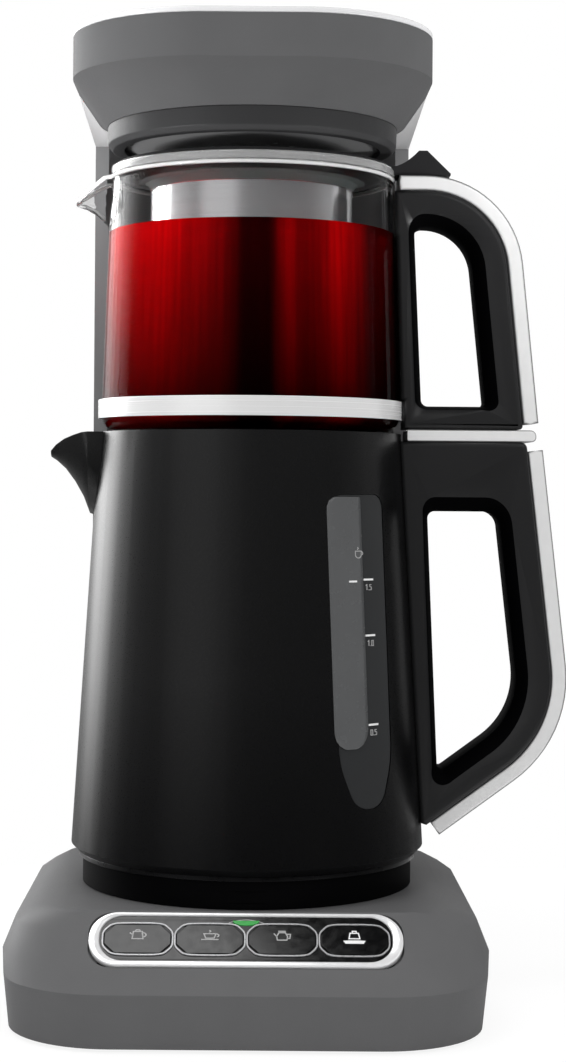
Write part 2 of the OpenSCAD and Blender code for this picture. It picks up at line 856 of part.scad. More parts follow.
module head_neck() {
    r = neck_r;
    color([0.1, 0.1, 0.105]) rotate_extrude() polygon([
        [r - 7.4, z_neck], [r - 2.2, z_neck], [r - 0.2, z_neck + 2], [r, z_funnel],
        [r - 2.6, z_funnel], [r - 2.6, z_funnel + 4.5], [r - 5, z_funnel + 4.5],
        [r - 5, z_neck + 1.6], [r - 7.4, z_neck + 1.6]
    ]);
}

module head_trim() {
    color(chrome) difference() {
        head_slab(0, z_brim, rim_h);
        head_slab(rim_w, z_brim - 1, rim_h + 2);
    }
}

module head_cover() {
    color(grey) {
        head_slab(rim_w + fit, z_brim, rim_h - 0.6);
        difference() {
            head_slab(wall + fit, z_brim - 4, 4);
            head_slab(wall + 3, z_brim - 5, 5.5);
        }
    }
}

module shower_plate() {
    r = neck_r - 5 - fit;
    color([0.12, 0.12, 0.125]) difference() {
        union() {
            translate([0, 0, z_neck + 1.6]) cylinder(r = r, h = 2);
            translate([0, 0, z_neck + 1.6]) cylinder(r = hose_r + 3, h = 16);
        }
        translate([0, 0, z_neck + 14]) cylinder(r = hose_r + 0.1, h = 5);
        translate([0, 0, z_neck]) cylinder(r = bore_r, h = 16);
        for (n = [6, 12], a = [0:n - 1])
            rotate(a * 360 / n) translate([hose_r + 3 + n, 0, z_neck])
                cylinder(r = 1.2, h = 6);
    }
}

// Kettle

function kettle_r(z) =
    kettle_bottom_r + (kettle_top_r - kettle_bottom_r) * (z - z_wide) / (z_kettle - z_wide);

// The body as a turned solid, moved in by i
module kettle_turned(i, z0, z1) {
    rotate_extrude() polygon([
        [0, z0], [kettle_bottom_r - kettle_chamfer - i - max(0, z_body - z0), z0],
        [kettle_bottom_r - i, z_wide], [kettle_r(z1) - i, z1], [0, z1]
    ]);
}

// One ring of a pouring channel: an open trough of half width w from z0 up to z1
function trough(x, w, z0, z1) =
    [for (k = [0:10])
        let (a = 180 * k / 10)
        [-x, w * cos(a), z1 - (z1 - z0) * sin(a) ^ 0.8]];

module kettle_spout(i) {
    reach = spout_reach - kettle_top_r;
    root = kettle_top_r - 5;
    w = spout_half_w - i;
    up = i > 0 ? 6 : 0;
    z = z_kettle;
    loft([
        trough(root, w, z - 38 + i * 2, z + up),
        trough(kettle_top_r + 0.19 * reach, w * 0.94, z - 34.5 + i * 1.6, z + up),
        trough(kettle_top_r + 0.32 * reach, w * 0.86, z - 27.5 + i * 1.4, z - 0.3 + up),
        trough(kettle_top_r + 0.5 * reach, w * 0.72, z - 21 + i * 1.2, z - 1.4 + up),
        trough(kettle_top_r + 0.7 * reach, w * 0.54, z - 15.5 + i, z - 3 + up),
        trough(kettle_top_r + 0.88 * reach, w * 0.36, z - 12.2 + i, z - 5.4 + up),
        trough(spout_reach - i * 0.4, w * 0.22, z - 10.6 + i * 0.6, z - 8 + up)
    ]);
}

// A slot outline that stands radially in the window direction
module window_form(grow) {
    w = window_w / 2 + grow;
    low = z_body + window_low - grow;
    high = z_body + window_low + window_h + grow;
    rotate(window_angle) translate([0, -30, 0]) rotate([90, 0, 0]) linear_extrude(60)
        polygon(rounded([
            [-w * 0.5, low, window_w / 3], [w * 0.5, low, window_w / 3],
            [w, low + window_w * 0.62, window_w * 1.2], [w, high, window_w / 5],
            [-w, high, window_w / 5], [-w, low + window_w * 0.62, window_w * 1.2]
        ]));
}

module kettle_body() {
    color(black) difference() {
        union() {
            kettle_turned(0, z_body, z_kettle);
            kettle_spout(0);
        }
        kettle_turned(kettle_wall, z_body - 1, z_kettle + 1);
        kettle_spout(1.8);
        window_form(0);
    }
}

module level_window() {
    color([0.5, 0.52, 0.54]) intersection() {
        window_form(-fit);
        difference() {
            kettle_turned(0.4, z_body, z_kettle);
            kettle_turned(kettle_wall + 0.6, z_body - 1, z_kettle + 1);
        }
    }
}

module kettle_skirt() {
    color(black) difference() {
        union() {
            translate([0, 0, z_skirt]) cylinder(r = skirt_r, h = skirt_h);
            translate([0, 0, z_ring]) cylinder(r = spigot_r, h = plate_z - z_ring);
        }
        translate([0, 0, z_skirt - 1]) cylinder(r = skirt_r - 4, h = 3);
        translate([0, 0, z_skirt + 4.4]) cylinder(r = spigot_r - 3, h = skirt_h + ring_h);
        translate([0, 0, z_skirt]) cylinder(r = socket_r + fit, h = skirt_h);
        translate([0, -skirt_r - 0.5, z_skirt + skirt_h * 0.42]) rotate([90, 0, 0])
            linear_extrude(2.4, center = true) {
                square([18, 5], center = true);
                for (s = [-1, 1])
                    translate([s * 9, 0]) circle(r = 2.5, $fn = 32);
            }
    }
}

module trim_ring() {
    color(chrome)
        ring(kettle_bottom_r - kettle_chamfer - 0.3, spigot_r + 0.1, z_ring, ring_h);
}

module heater_plate() {
    color(steel) translate([0, 0, plate_z]) difference() {
        cylinder(r = spigot_r + 1.6, h = hot_t);
        translate([0, 0, -1]) cylinder(r = stem_r + 0.1, h = 4);
        translate([0, -20, -1]) cylinder(r = 2.6, h = 4);
    }
}

module heater_element() {
    color([0.5, 0.5, 0.52]) {
        translate([0, 0, plate_z - 4]) rotate_extrude() translate([46, 0]) circle(r = 4, $fn = 32);
        for (s = [-1, 1])
            rotate(s * 12) translate([46, 0, plate_z - 9]) cylinder(r = 1.4, h = 4);
    }
}

module plate_seal() {
    color([0.75, 0.2, 0.15]) rotate_extrude() polygon([
        [spigot_r + 1.7, plate_z],
        [kettle_bottom_r - kettle_wall - 0.4, plate_z],
        [kettle_bottom_r - kettle_wall - 0.5, plate_z + hot_t + 0.6],
        [spigot_r + 1.7, plate_z + hot_t + 0.6]
    ]);
}

module kettle_socket() {
    color(black) difference() {
        union() {
            translate([0, 0, z_skirt + 2]) cylinder(r = socket_r, h = plate_z - z_skirt - 2);
            translate([0, 0, z_skirt + 4.4]) cylinder(r = socket_r + 4, h = 2);
        }
        translate([0, 0, z_skirt]) cylinder(r = boss_r + 1, h = z_socket - z_skirt);
        translate([0, 0, z_socket - 1]) cylinder(r = stem_r + 0.1, h = 30);
        translate([0, 0, plate_z - pocket_h]) cylinder(r = 6, h = 8);
        for (a = [90, 210, 330])
            rotate(a) translate([22, 0, z_skirt]) cylinder(r = 1.3, h = 10);
        translate([0, -20, z_skirt + 8]) cylinder(r = 2.7, h = 30);
    }
}

module socket_pins() {
    color([0.8, 0.62, 0.25])
        for (a = [90, 210, 330])
            rotate(a) translate([22, 0, z_top + 0.6]) cylinder(r = 1.2, h = 9);
}

module temperature_probe() {
    color(steel) translate([0, -20, z_skirt + 8.4]) cylinder(r = 2.4, h = plate_z - z_skirt + 2);
}

module kettle_valve() {
    head_z = plate_z + hot_t + valve_lift + 0.2;
    color([0.85, 0.85, 0.82]) {
        translate([0, 0, valve_z]) cylinder(r = stem_r, h = head_z + 1 - valve_z);
        translate([0, 0, plate_z - pocket_h + valve_lift + 0.2]) cylinder(r = 5, h = 0.8);
        translate([0, 0, head_z]) cylinder(r = 8, h = 1.6);
    }
}

module valve_spring() {
    turns = 2;
    wire = 0.4;
    low = plate_z - pocket_h + valve_lift + 1.1;
    rise = plate_z - 0.1 - low;
    steps = 14 * turns;
    color(steel) translate([0, 0, low + wire]) loft([
        for (i = [0:steps])
            let (a = 360 * turns * i / steps, z = (rise - 2 * wire) * i / steps)
            [for (k = [0:5])
                let (b = -60 * k, r = 4 + wire * cos(b))
                [r * cos(a), r * sin(a), z + wire * sin(b)]]
    ]);
}

// The handle's outer path: along the top, down the grip and in along the lower arm
kh_a = [kettle_top_r - 2, z_kettle - 3];
kh_b = [kh_top_reach, z_kettle - 3];
kh_c = [kh_reach, z_body + kh_elbow_z];
kh_d = [kettle_bottom_r + 1, z_body + kh_low_z];

module kettle_handle() {
    right = shifted(kh_b, kh_c, -kh_grip);
    lower = shifted(kh_c, kh_d, -kh_grip);
    z_in = kh_a[1] - kh_top_h;
    roof = [[0, z_in], [50, z_in]];
    z_low = z_body + 10;
    column = [[kettle_r(z_low) + kh_column - 2, z_low], [kettle_r(z_in) + kh_column, z_in]];
    p1 = meet(column, roof);
    p2 = meet(roof, right);
    p3 = meet(right, lower);
    p4 = meet(lower, column);
    color(black) difference() {
        upright(kh_w) difference() {
            polygon(rounded([
                [kh_a[0] - 6, kh_a[1], 0], [kh_b[0], kh_b[1], 3],
                [kh_c[0], kh_c[1], kh_elbow_r], [kh_d[0], kh_d[1], 0],
                [kh_d[0] - 8, kh_d[1], 0]
            ]));
            polygon(rounded([
                [p1[0], p1[1], 3], [p2[0], p2[1], 7],
                [p3[0], p3[1], kh_elbow_r - kh_grip], [p4[0], p4[1], 2]
            ]));
        }
        kettle_turned(-0.1, z_body - 2, z_kettle + 4);
    }
}

module kettle_handle_trim() {
    a = kh_b + unit(kh_c - kh_b) * 4;
    color(chrome) upright(kh_w - 3)
        polygon(bent_band(a, kh_c, kh_d + unit(kh_c - kh_d) * 2, kh_elbow_r, kh_trim_t));
}

module kettle_handle_cap() {
    z = kh_a[1];
    t = kh_cap_t;
    color(chrome) difference() {
        upright(kh_w - 1) polygon(rounded([
            [kettle_top_r - 1, z, 0], [kh_top_reach + 4, z, t * 0.4],
            [kh_top_reach + 4, z + t, t * 0.5], [kettle_top_r - 1, z + t, 0]
        ]));
        translate([0, 0, z - 1]) cylinder(r = kettle_top_r + 3, h = 9);
        translate([0, 0, z_kettle]) cylinder(r = pot_bottom_r + 3.5, h = 9);
    }
}

module kettle_top_ring() {
    r = kettle_top_r - kettle_wall - 0.2;
    color(black) difference() {
        ring(r, mouth_r, z_kettle - top_ring_t, top_ring_t);
        ring(54.1, 47.9, z_kettle - 1.2, 3);
    }
}

module seat_gasket() {
    color([0.2, 0.2, 0.2]) ring(54, 48, z_kettle - 1.2, 1.2 + gasket_proud);
}

// Teapot

function pot_r(z) = pot_bottom_r + (pot_top_r - pot_bottom_r) * (z - z_pot) / pot_h;

module pot_turned(i, z0, z1) {
    c = pot_corner;
    zc = z0 + c;
    rotate_extrude() polygon(concat(
        [[0, z0]],
        [for (k = [0:8])
            let (a = 90 * k / 8)
            [pot_r(zc) - i - c + c * sin(a), zc - c * cos(a)]],
        [[pot_r(z1) - i, z1], [0, z1]]
    ));
}

module pot_lip(i) {
    reach = lip_reach - pot_top_r;
    w = lip_half_w - i;
    up = i > 0 ? 8 : 0;
    z = z_rim;
    loft([
        trough(pot_top_r - 2.2 - i * 6, w, z - 24 + i * 1.6, z + up),
        trough(pot_top_r + 0.12 * reach, w * 0.94, z - 20 + i * 1.3, z - 0.6 + up),
        trough(pot_top_r + 0.4 * reach, w * 0.7, z - 16 + i, z - 3.2 + up),
        trough(pot_top_r + 0.7 * reach, w * 0.45, z - 13.6 + i, z - 6.4 + up),
        trough(lip_reach - i * 0.5, w * 0.2, z - 12.2 + i * 0.6, z - 9.6 + up)
    ]);
}

module teapot_glass() {
    color([0.75, 0.85, 0.88]) difference() {
        union() {
            pot_turned(0, z_pot, z_rim);
            translate([0, 0, z_rim - 3]) cylinder(r1 = pot_r(z_rim - 3), r2 = pot_top_r + 0.9, h = 3);
            pot_lip(0);
        }
        pot_turned(glass_t, z_pot + glass_t + 0.6, z_rim + 1);
        pot_lip(1.6);
    }
}

module teapot_band() {
    color(steel) difference() {
        ring(band_r + band_t, band_r, z_band, band_h);
        translate([band_r - 2, -4, z_band - 1]) cube([6, 8, band_h + 2]);
    }
}

module band_clasp() {
    color(steel) {
        for (s = [-1, 1])
            translate([band_r + band_t + 0.05, s * 5 - 1, z_band]) cube([3.8, 2, band_h]);
        translate([band_r + 2.6, 0, z_band + band_h / 2]) rotate([90, 0, 0])
            cylinder(r = 1.6, h = 14, center = true);
    }
}

// The handle's outer path: along the top, round the shoulder and down the grip
th_a = [pot_top_r + 1, z_rim - th_drop];
th_b = [th_top_reach, z_rim - th_drop];
th_c = [th_reach, z_pot + th_low];

module teapot_handle() {
    right = shifted(th_b, th_c, -th_grip);
    z_in = th_a[1] - th_grip;
    z_bar = z_pot + th_low + th_bar;
    roof = [[0, z_in], [50, z_in]];
    floor_line = [[0, z_bar], [50, z_bar]];
    column = [[pot_r(z_bar) + th_column + 1, z_bar], [pot_r(z_in) + th_column, z_in]];
    p1 = meet(column, roof);
    p2 = meet(roof, right);
    p3 = meet(right, floor_line);
    p4 = meet(floor_line, column);
    color(black) difference() {
        upright(th_w) difference() {
            polygon(rounded([
                [th_a[0] - 6, th_a[1], 0], [th_b[0], th_b[1], th_r],
                [th_c[0], th_c[1], 1.5], [pot_bottom_r - 6, th_c[1], 0]
            ]));
            polygon(rounded([
                [p1[0], p1[1], 4], [p2[0], p2[1], th_r - th_grip],
                [p3[0], p3[1], 2], [p4[0], p4[1], 3]
            ]));
        }
        pot_turned(-0.15, z_pot - 3, z_rim);
        translate([0, 0, z_rim - 3.2]) cylinder(r = pot_top_r + 1.2, h = 6);
        translate([0, 0, z_band - 0.2]) cylinder(r = band_r + band_t + 0.1, h = band_h + 0.4);
        translate([band_r - 1, -6.2, z_band - 0.2]) cube([6, 12.4, band_h + 0.4]);
        translate([band_r + 2.6, 0, z_band + band_h / 2]) rotate([90, 0, 0])
            cylinder(r = 1.7, h = 14.4, center = true);
    }
}

module teapot_handle_trim() {
    color(chrome) difference() {
        upright(th_w - 2) polygon(bent_band(th_a, th_b, th_c + unit(th_b - th_c), th_r, th_trim_t));
        translate([0, 0, z_rim - 8]) cylinder(r = pot_top_r + 1.2, h = 16);
    }
}

module teapot_lid() {
    r = lid_r;
    z = z_lid;
    tab_z = th_a[1] + th_trim_t + 0.2;
    color([0.09, 0.09, 0.095]) {
        rotate_extrude() polygon([
            [7, z], [infuser_r - 3, z], [infuser_r - 3, z - 4], [infuser_r - 1.4, z - 4],
            [infuser_r - 1.4, z], [r - 0.6, z], [r, z + 0.6], [r, z + lid_h - 1],
            [r - 1, z + lid_h], [r - 8, z + lid_h], [r - 12, z + 2.4], [14, z + 1.6],
            [7, z + 1.6]
        ]);
        upright(tab_w) polygon(concat(
            [[r - 3, max(z, tab_z)], [r - 3, z + lid_h]],
            [for (k = [0:6])
                let (t = k / 6)
                [r + 0.5 + 11 * t, z + lid_h + 6.8 * t ^ 1.7]],
            [[r + 15, z + lid_h + 6.8], [r + 25, tab_z + 0.8], [r + 25, tab_z],
                [r + 1, tab_z]]
        ));
    }
}

module infuser() {
    r = infuser_r;
    z = z_rim;
    low = z_pot + infuser_low;
    color(steel) difference() {
        rotate_extrude() polygon([
            [0, low], [r - 2, low], [r, low + 2], [r, z - 6], [r + 2.4, z - 3],
            [pot_top_r - glass_t - 1, z], [pot_top_r - 0.6, z], [pot_top_r - 0.6, z + infuser_t],
            [pot_top_r - glass_t - 1.6, z + infuser_t], [r + 1.6, z - 3 + infuser_t],
            [r - infuser_t, z - 6 + infuser_t], [r - infuser_t, low + 2],
            [r - 2, low + infuser_t], [0, low + infuser_t]
        ]);
        for (row = [0:3], a = [0:19])
            rotate(a * 18 + row * 9) translate([r - 3, 0, low + 12 + row * 8])
                rotate([0, 90, 0]) cylinder(r = 1.1, h = 6, $fn = 16);
        for (n = [6, 12], a = [0:n - 1])
            rotate(a * 360 / n) translate([n * 2.4, 0, low - 1]) cylinder(r = 1.3, h = 4, $fn = 16);
    }
}

base_shell();
base_plate();
base_feet();
base_screws();
panel_bezel();
panel_plate();
key_boil();
key_tea();
key_coffee();
key_warm();
status_light();
control_board();
key_switches();
power_coupling();
coupling_contacts();
water_port();
pump_body();
pump_motor();
pump_impeller();
inlet_hose();
riser_pipe();
cord_gland();
tower_front();
tower_back();
tower_screws();
head_shell();
head_wings();
head_neck();
head_trim();
head_cover();
shower_plate();
kettle_body();
kettle_skirt();
trim_ring();
heater_plate();
heater_element();
plate_seal();
kettle_socket();
socket_pins();
temperature_probe();
kettle_valve();
valve_spring();
level_window();
kettle_handle();
kettle_handle_trim();
kettle_handle_cap();
kettle_top_ring();
seat_gasket();
teapot_glass();
teapot_band();
band_clasp();
teapot_handle();
teapot_handle_trim();
teapot_lid();
infuser();
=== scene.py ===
"""Looks of the tea and coffee maker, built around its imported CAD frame.

Lengths are in millimetres in the part's frame, and MM takes them to the metres of the scene.
"""
import math

import bmesh
import bpy
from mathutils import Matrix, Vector, geometry


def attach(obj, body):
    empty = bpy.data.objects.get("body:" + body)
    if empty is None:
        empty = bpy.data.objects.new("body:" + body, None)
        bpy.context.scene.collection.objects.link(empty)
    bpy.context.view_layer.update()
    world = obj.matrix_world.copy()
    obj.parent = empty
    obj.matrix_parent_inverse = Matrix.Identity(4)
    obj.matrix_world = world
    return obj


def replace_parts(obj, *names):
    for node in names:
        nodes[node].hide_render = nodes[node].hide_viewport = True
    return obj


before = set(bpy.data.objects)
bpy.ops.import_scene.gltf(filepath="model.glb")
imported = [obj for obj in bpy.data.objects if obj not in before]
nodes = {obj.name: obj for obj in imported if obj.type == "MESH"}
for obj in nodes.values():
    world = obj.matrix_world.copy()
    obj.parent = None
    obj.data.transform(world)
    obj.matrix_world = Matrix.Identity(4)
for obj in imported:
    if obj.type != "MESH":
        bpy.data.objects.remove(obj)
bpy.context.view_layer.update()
MM = 0.001
WHITE = (1, 1, 1, 1)


# Colours

def srgb(red, green, blue):
    """A screen colour, 0 to 255, as the linear colour that a shader takes."""
    def linear(level):
        level /= 255
        return level / 12.92 if level <= 0.04045 else ((level + 0.055) / 1.055) ** 2.4
    return (linear(red), linear(green), linear(blue), 1)


def grey(level, cool=1):
    """A screen grey whose blue lies a little above it."""
    return srgb(level, level, level + cool)


def shade(colour, factor):
    """A colour made darker or lighter."""
    return tuple(c * factor for c in colour[:3]) + (1,)


# Shader nodes

def shader(name, **sockets):
    """A new material, its tree and its shader, with constants set on the shader's own sockets."""
    material = bpy.data.materials.new(name)
    material.use_nodes = True
    tree, bsdf = shader_of(material)
    for key, value in sockets.items():
        bsdf.inputs[key.replace("_", " ")].default_value = value
    return material, tree, bsdf


def shader_of(material):
    """The tree of a material and the shader in it."""
    tree = material.node_tree
    return tree, tree.nodes["Principled BSDF"]


def feed(tree, socket, value):
    """Links an output to a socket, or sets the socket to a constant."""
    if isinstance(value, bpy.types.NodeSocket):
        tree.links.new(value, socket)
    else:
        socket.default_value = value


def object_coords(tree):
    """Places on the part, in metres."""
    return tree.nodes.new("ShaderNodeTexCoord").outputs["Object"]


def face_normal(tree):
    return tree.nodes.new("ShaderNodeNewGeometry").outputs["Normal"]


def axis_of(tree, vector, axis):
    """The X, Y or Z of a vector output."""
    split = tree.nodes.new("ShaderNodeSeparateXYZ")
    tree.links.new(vector, split.inputs[0])
    return split.outputs[axis]


def noise(tree, scale, detail, stretch=None):
    """Noise in the part's own coordinates, scale in features a metre."""
    coords = object_coords(tree)
    if stretch:
        mapping = tree.nodes.new("ShaderNodeMapping")
        mapping.inputs["Scale"].default_value = stretch
        tree.links.new(coords, mapping.inputs["Vector"])
        coords = mapping.outputs["Vector"]
    texture = tree.nodes.new("ShaderNodeTexNoise")
    texture.inputs["Scale"].default_value = scale
    texture.inputs["Detail"].default_value = detail
    tree.links.new(coords, texture.inputs["Vector"])
    return texture.outputs["Fac"]


def spread(tree, value, low, high, start=0.3, end=0.7):
    """value from start to end becomes low to high."""
    node = tree.nodes.new("ShaderNodeMapRange")
    node.inputs["From Min"].default_value = start
    node.inputs["From Max"].default_value = end
    node.inputs["To Min"].default_value = low
    node.inputs["To Max"].default_value = high
    tree.links.new(value, node.inputs["Value"])
    return node.outputs["Result"]


def combined(tree, operation, *values):
    """A sum, product or the like of values, each a number or an output."""
    node = tree.nodes.new("ShaderNodeMath")
    node.operation = operation
    for socket, value in zip(node.inputs, values):
        feed(tree, socket, value)
    return node.outputs[0]


def mixed(tree, factor, first, second):
    """A colour between first and second, each a colour or an output."""
    node = tree.nodes.new("ShaderNodeMix")
    node.data_type = "RGBA"
    sockets = {socket.identifier: socket for socket in node.inputs}
    feed(tree, sockets["Factor_Float"], factor)
    feed(tree, sockets["A_Color"], first)
    feed(tree, sockets["B_Color"], second)
    return next(s for s in node.outputs if s.identifier == "Result_Color")


def mottled(tree, bsdf, pattern, dark, light):
    """Gives a shader a colour that follows a pattern of noise."""
    tint = mixed(tree, spread(tree, pattern, 0, 1), dark, light)
    tree.links.new(tint, bsdf.inputs["Base Color"])
    return tint


def bumped(tree, bsdf, height, strength, distance):
    """Gives a shader fine relief, distance in metres."""
    node = tree.nodes.new("ShaderNodeBump")
    node.inputs["Strength"].default_value = strength
    node.inputs["Distance"].default_value = distance
    tree.links.new(height, node.inputs["Height"])
    tree.links.new(node.outputs["Normal"], bsdf.inputs["Normal"])


# Kinds of material

# Relief in metres, and the change of roughness over the grain
GRAIN_HEIGHT, HAIR_HEIGHT, WAVE_HEIGHT, TRACK_HEIGHT = 0.00012, 0.00008, 0.0004, 0.0001
GRAIN_GLOSS = 0.04
# Features a metre along each axis: lines round an upright piece, and an even polish
AROUND = (3, 3, 2600)
POLISH = (220, 220, 220)


def grained(tree, bsdf, rough, grain, depth):
    """Fine grain in the gloss and the relief of a moulded surface."""
    fine = noise(tree, grain, 2)
    gloss = spread(tree, fine, rough - GRAIN_GLOSS, rough + GRAIN_GLOSS)
    tree.links.new(gloss, bsdf.inputs["Roughness"])
    bumped(tree, bsdf, fine, depth, GRAIN_HEIGHT)


def moulded(name, colour, rough, grain=1400, depth=0.25, vary=0.06, specular=0.5):
    """Moulded or painted surface: fine grain, slight mottling of colour and gloss."""
    material, tree, bsdf = shader(name, Specular_IOR_Level=specular)
    mottled(tree, bsdf, noise(tree, 45, 4), shade(colour, 1 - vary), shade(colour, 1 + vary))
    grained(tree, bsdf, rough, grain, depth)
    return material


def painted_by_facing(name, side, under, rough, specular):
    """Moulded surface whose downward faces get a colour of their own, light and shade painted by which way a
    face points.
    """
    material, tree, bsdf = shader(name, Specular_IOR_Level=specular)
    painted_downward = spread(tree, axis_of(tree, face_normal(tree), "Z"), 1, 0, -0.7, -0.3)
    tree.links.new(mixed(tree, painted_downward, side, under), bsdf.inputs["Base Color"])
    grained(tree, bsdf, rough, 1400, 0.25)
    return material


def fading_coat(name, colour, rough, low, high):
    """Painted coat whose gloss fades from height high down to height low."""
    material = moulded(name, colour, rough, 2200, 0.04)
    tree, bsdf = shader_of(material)
    height = axis_of(tree, object_coords(tree), "Z")
    gloss = spread(tree, height, 0.04, 0.48, low * MM, high * MM)
    tree.links.new(gloss, bsdf.inputs["Specular IOR Level"])
    return material


def metal(name, colour, rough, stretch, lines=1.0, streak=0.06, bump=0.05, metallic=1.0):
    """Bright metal with fine lines along the axes where stretch is small."""
    material, tree, bsdf = shader(name, Metallic=metallic)
    hair = noise(tree, lines, 4, stretch)
    mottled(tree, bsdf, hair, shade(colour, 1 - streak), shade(colour, 1 + streak / 2))
    tree.links.new(spread(tree, hair, rough * 0.75, rough * 1.3), bsdf.inputs["Roughness"])
    bumped(tree, bsdf, hair, bump, HAIR_HEIGHT)
    return material


def painted_dark_edges(material, colour):
    """Gives the rounded edges between the upright and the outward faces of a strip a darker colour, a painted
    dark reflection.
    """
    tree, bsdf = shader_of(material)
    facing = combined(tree, "ABSOLUTE", axis_of(tree, face_normal(tree), "Y"))
    upright = spread(tree, facing, 0.0, 1.0, 0.7, 0.97)
    outward = spread(tree, facing, 1.0, 0.0, 0.03, 0.2)
    bright = bsdf.inputs["Base Color"].links[0].from_socket
    tint = mixed(tree, combined(tree, "MAXIMUM", upright, outward), colour, bright)
    tree.links.new(tint, bsdf.inputs["Base Color"])


def basket_steel(name, wall_top, bend_top, blur=0.2):
    """Polished steel wall, a pale bend above it that is a painted highlight and a dark flange that is painted
    shade, told apart by height.
    """
    material = metal(name, grey(232, 2), 0.18, AROUND)
    tree, bsdf = shader_of(material)
    height = axis_of(tree, object_coords(tree), "Z")

    def across(edge, below, above):
        return spread(tree, height, below, above, (edge - blur) * MM, (edge + blur) * MM)

    wall = bsdf.inputs["Base Color"].links[0].from_socket
    # Painted highlight: a pale non-metal grey on the bend; painted shade: a dark grey on the flange under the
    # lid
    bend = mixed(tree, across(wall_top, 0.0, 1.0), wall, srgb(140, 150, 150))
    painted_shade_flange = mixed(tree, across(bend_top, 0.0, 1.0), bend, srgb(52, 54, 54))
    tree.links.new(painted_shade_flange, bsdf.inputs["Base Color"])
    tree.links.new(across(wall_top, 0.75, 0.05), bsdf.inputs["Metallic"])
    return material


def clear(name, colour, rough, ior, transmission=1.0, specular=0.5):
    """Glass or clear plastic with faint draw marks."""
    material, tree, bsdf = shader(
        name, IOR=ior, Transmission_Weight=transmission, Roughness=rough, Specular_IOR_Level=specular)
    wave = noise(tree, 60, 2)
    mottled(tree, bsdf, wave, shade(colour, 0.985), colour)
    bumped(tree, bsdf, wave, 0.05, WAVE_HEIGHT)
    return material


def board(name):
    """Green circuit board with a regular grid of tracks and pads."""
    material, tree, bsdf = shader(name, Roughness=0.35)
    brick = tree.nodes.new("ShaderNodeTexBrick")
    brick.inputs["Scale"].default_value = 180
    brick.inputs["Color1"].default_value = srgb(20, 92, 48)
    brick.inputs["Color2"].default_value = srgb(24, 104, 54)
    brick.inputs["Mortar"].default_value = srgb(150, 132, 70)
    brick.inputs["Mortar Size"].default_value = 0.012
    tree.links.new(object_coords(tree), brick.inputs["Vector"])
    tree.links.new(brick.outputs["Color"], bsdf.inputs["Base Color"])
    bumped(tree, bsdf, brick.outputs["Fac"], 0.2, TRACK_HEIGHT)
    return material


def glowing(name, colour, strength):
    """Lit lens with a fine cell pattern."""
    material, tree, bsdf = shader(name, Roughness=0.2, Emission_Strength=strength)
    tint = mottled(tree, bsdf, noise(tree, 700, 2), shade(colour, 0.75), colour)
    tree.links.new(tint, bsdf.inputs["Emission Color"])
    return material


# Painted reflections in the tea: its brightness by its share of a turn, left at 0, front at a quarter, right
# at a half
TEA_PAINTED_BANDS = (
    (0.0, 44), (0.06, 140), (0.1, 122), (0.15, 142), (0.19, 112), (0.22, 84), (0.24, 26), (0.272, 26),
    (0.283, 92), (0.294, 118), (0.302, 84), (0.31, 84), (0.335, 110), (0.35, 150), (0.37, 122),
    (0.4, 50), (0.5, 24), (0.6, 110), (0.7, 40), (0.8, 130), (0.92, 70), (1.0, 44),
)
TEA_RED = (1.55, 0.02, 0.05)
# Fine upright streaks in the tea's brightness, painted reflections
TEA_PAINTED_STREAKS = (420, 420, 3)
# Heights between which the tea gets lighter, a painted light, and between which the painted glow below the
# band ends
TEA_SHADE_FOOT, TEA_LEVEL = 250, 326
PAINTED_GLOW_TOP, PAINTED_GLOW_END = 249, 253


def tea_reflection_ramp(tree, coords):
    """Red of the tea by its direction from the pot's axis, in upright bands that are painted reflections."""
    turn = tree.nodes.new("ShaderNodeTexGradient")
    turn.gradient_type = "RADIAL"
    tree.links.new(coords, turn.inputs["Vector"])
    ramp = tree.nodes.new("ShaderNodeValToRGB")
    stops = ramp.color_ramp.elements
    stops.remove(stops[1])
    for number, (share, level) in enumerate(TEA_PAINTED_BANDS):
        stop = stops.new(share) if number else stops[0]
        stop.position = share
        stop.color = srgb(*(level * part for part in TEA_RED))
    tree.links.new(turn.outputs["Fac"], ramp.inputs["Fac"])
    return ramp.outputs["Color"]


def painted_light_tea(name):
    """Deep red tea with painted light: painted reflections in upright bands and streaks, painted light that
    grows toward its surface, and a painted glow below the steel band.
    """
    material, tree, bsdf = shader(name, Roughness=0.3, Specular_IOR_Level=0.0)
    coords = object_coords(tree)
    height = axis_of(tree, coords, "Z")
    # Painted light: darker toward the foot, lighter toward the surface, a glow just above the foot and
    # upright streaks
    painted_rise = spread(tree, height, 0.28, 1.0, TEA_SHADE_FOOT * MM, TEA_LEVEL * MM)
    painted_glow = spread(tree, height, 0.55, 0.0, PAINTED_GLOW_TOP * MM, PAINTED_GLOW_END * MM)
    light = combined(tree, "MAXIMUM", combined(tree, "POWER", painted_rise, 1.8), painted_glow)
    hair = spread(tree, noise(tree, 1.0, 3, TEA_PAINTED_STREAKS), 0.74, 1.2)
    tint = tree.nodes.new("ShaderNodeVectorMath")
    tint.operation = "SCALE"
    tree.links.new(tea_reflection_ramp(tree, coords), tint.inputs[0])
    tree.links.new(combined(tree, "MULTIPLY", hair, light), tint.inputs["Scale"])
    tree.links.new(tint.outputs["Vector"], bsdf.inputs["Base Color"])
    return material


# Looks by slot of the record, and looks of single pieces

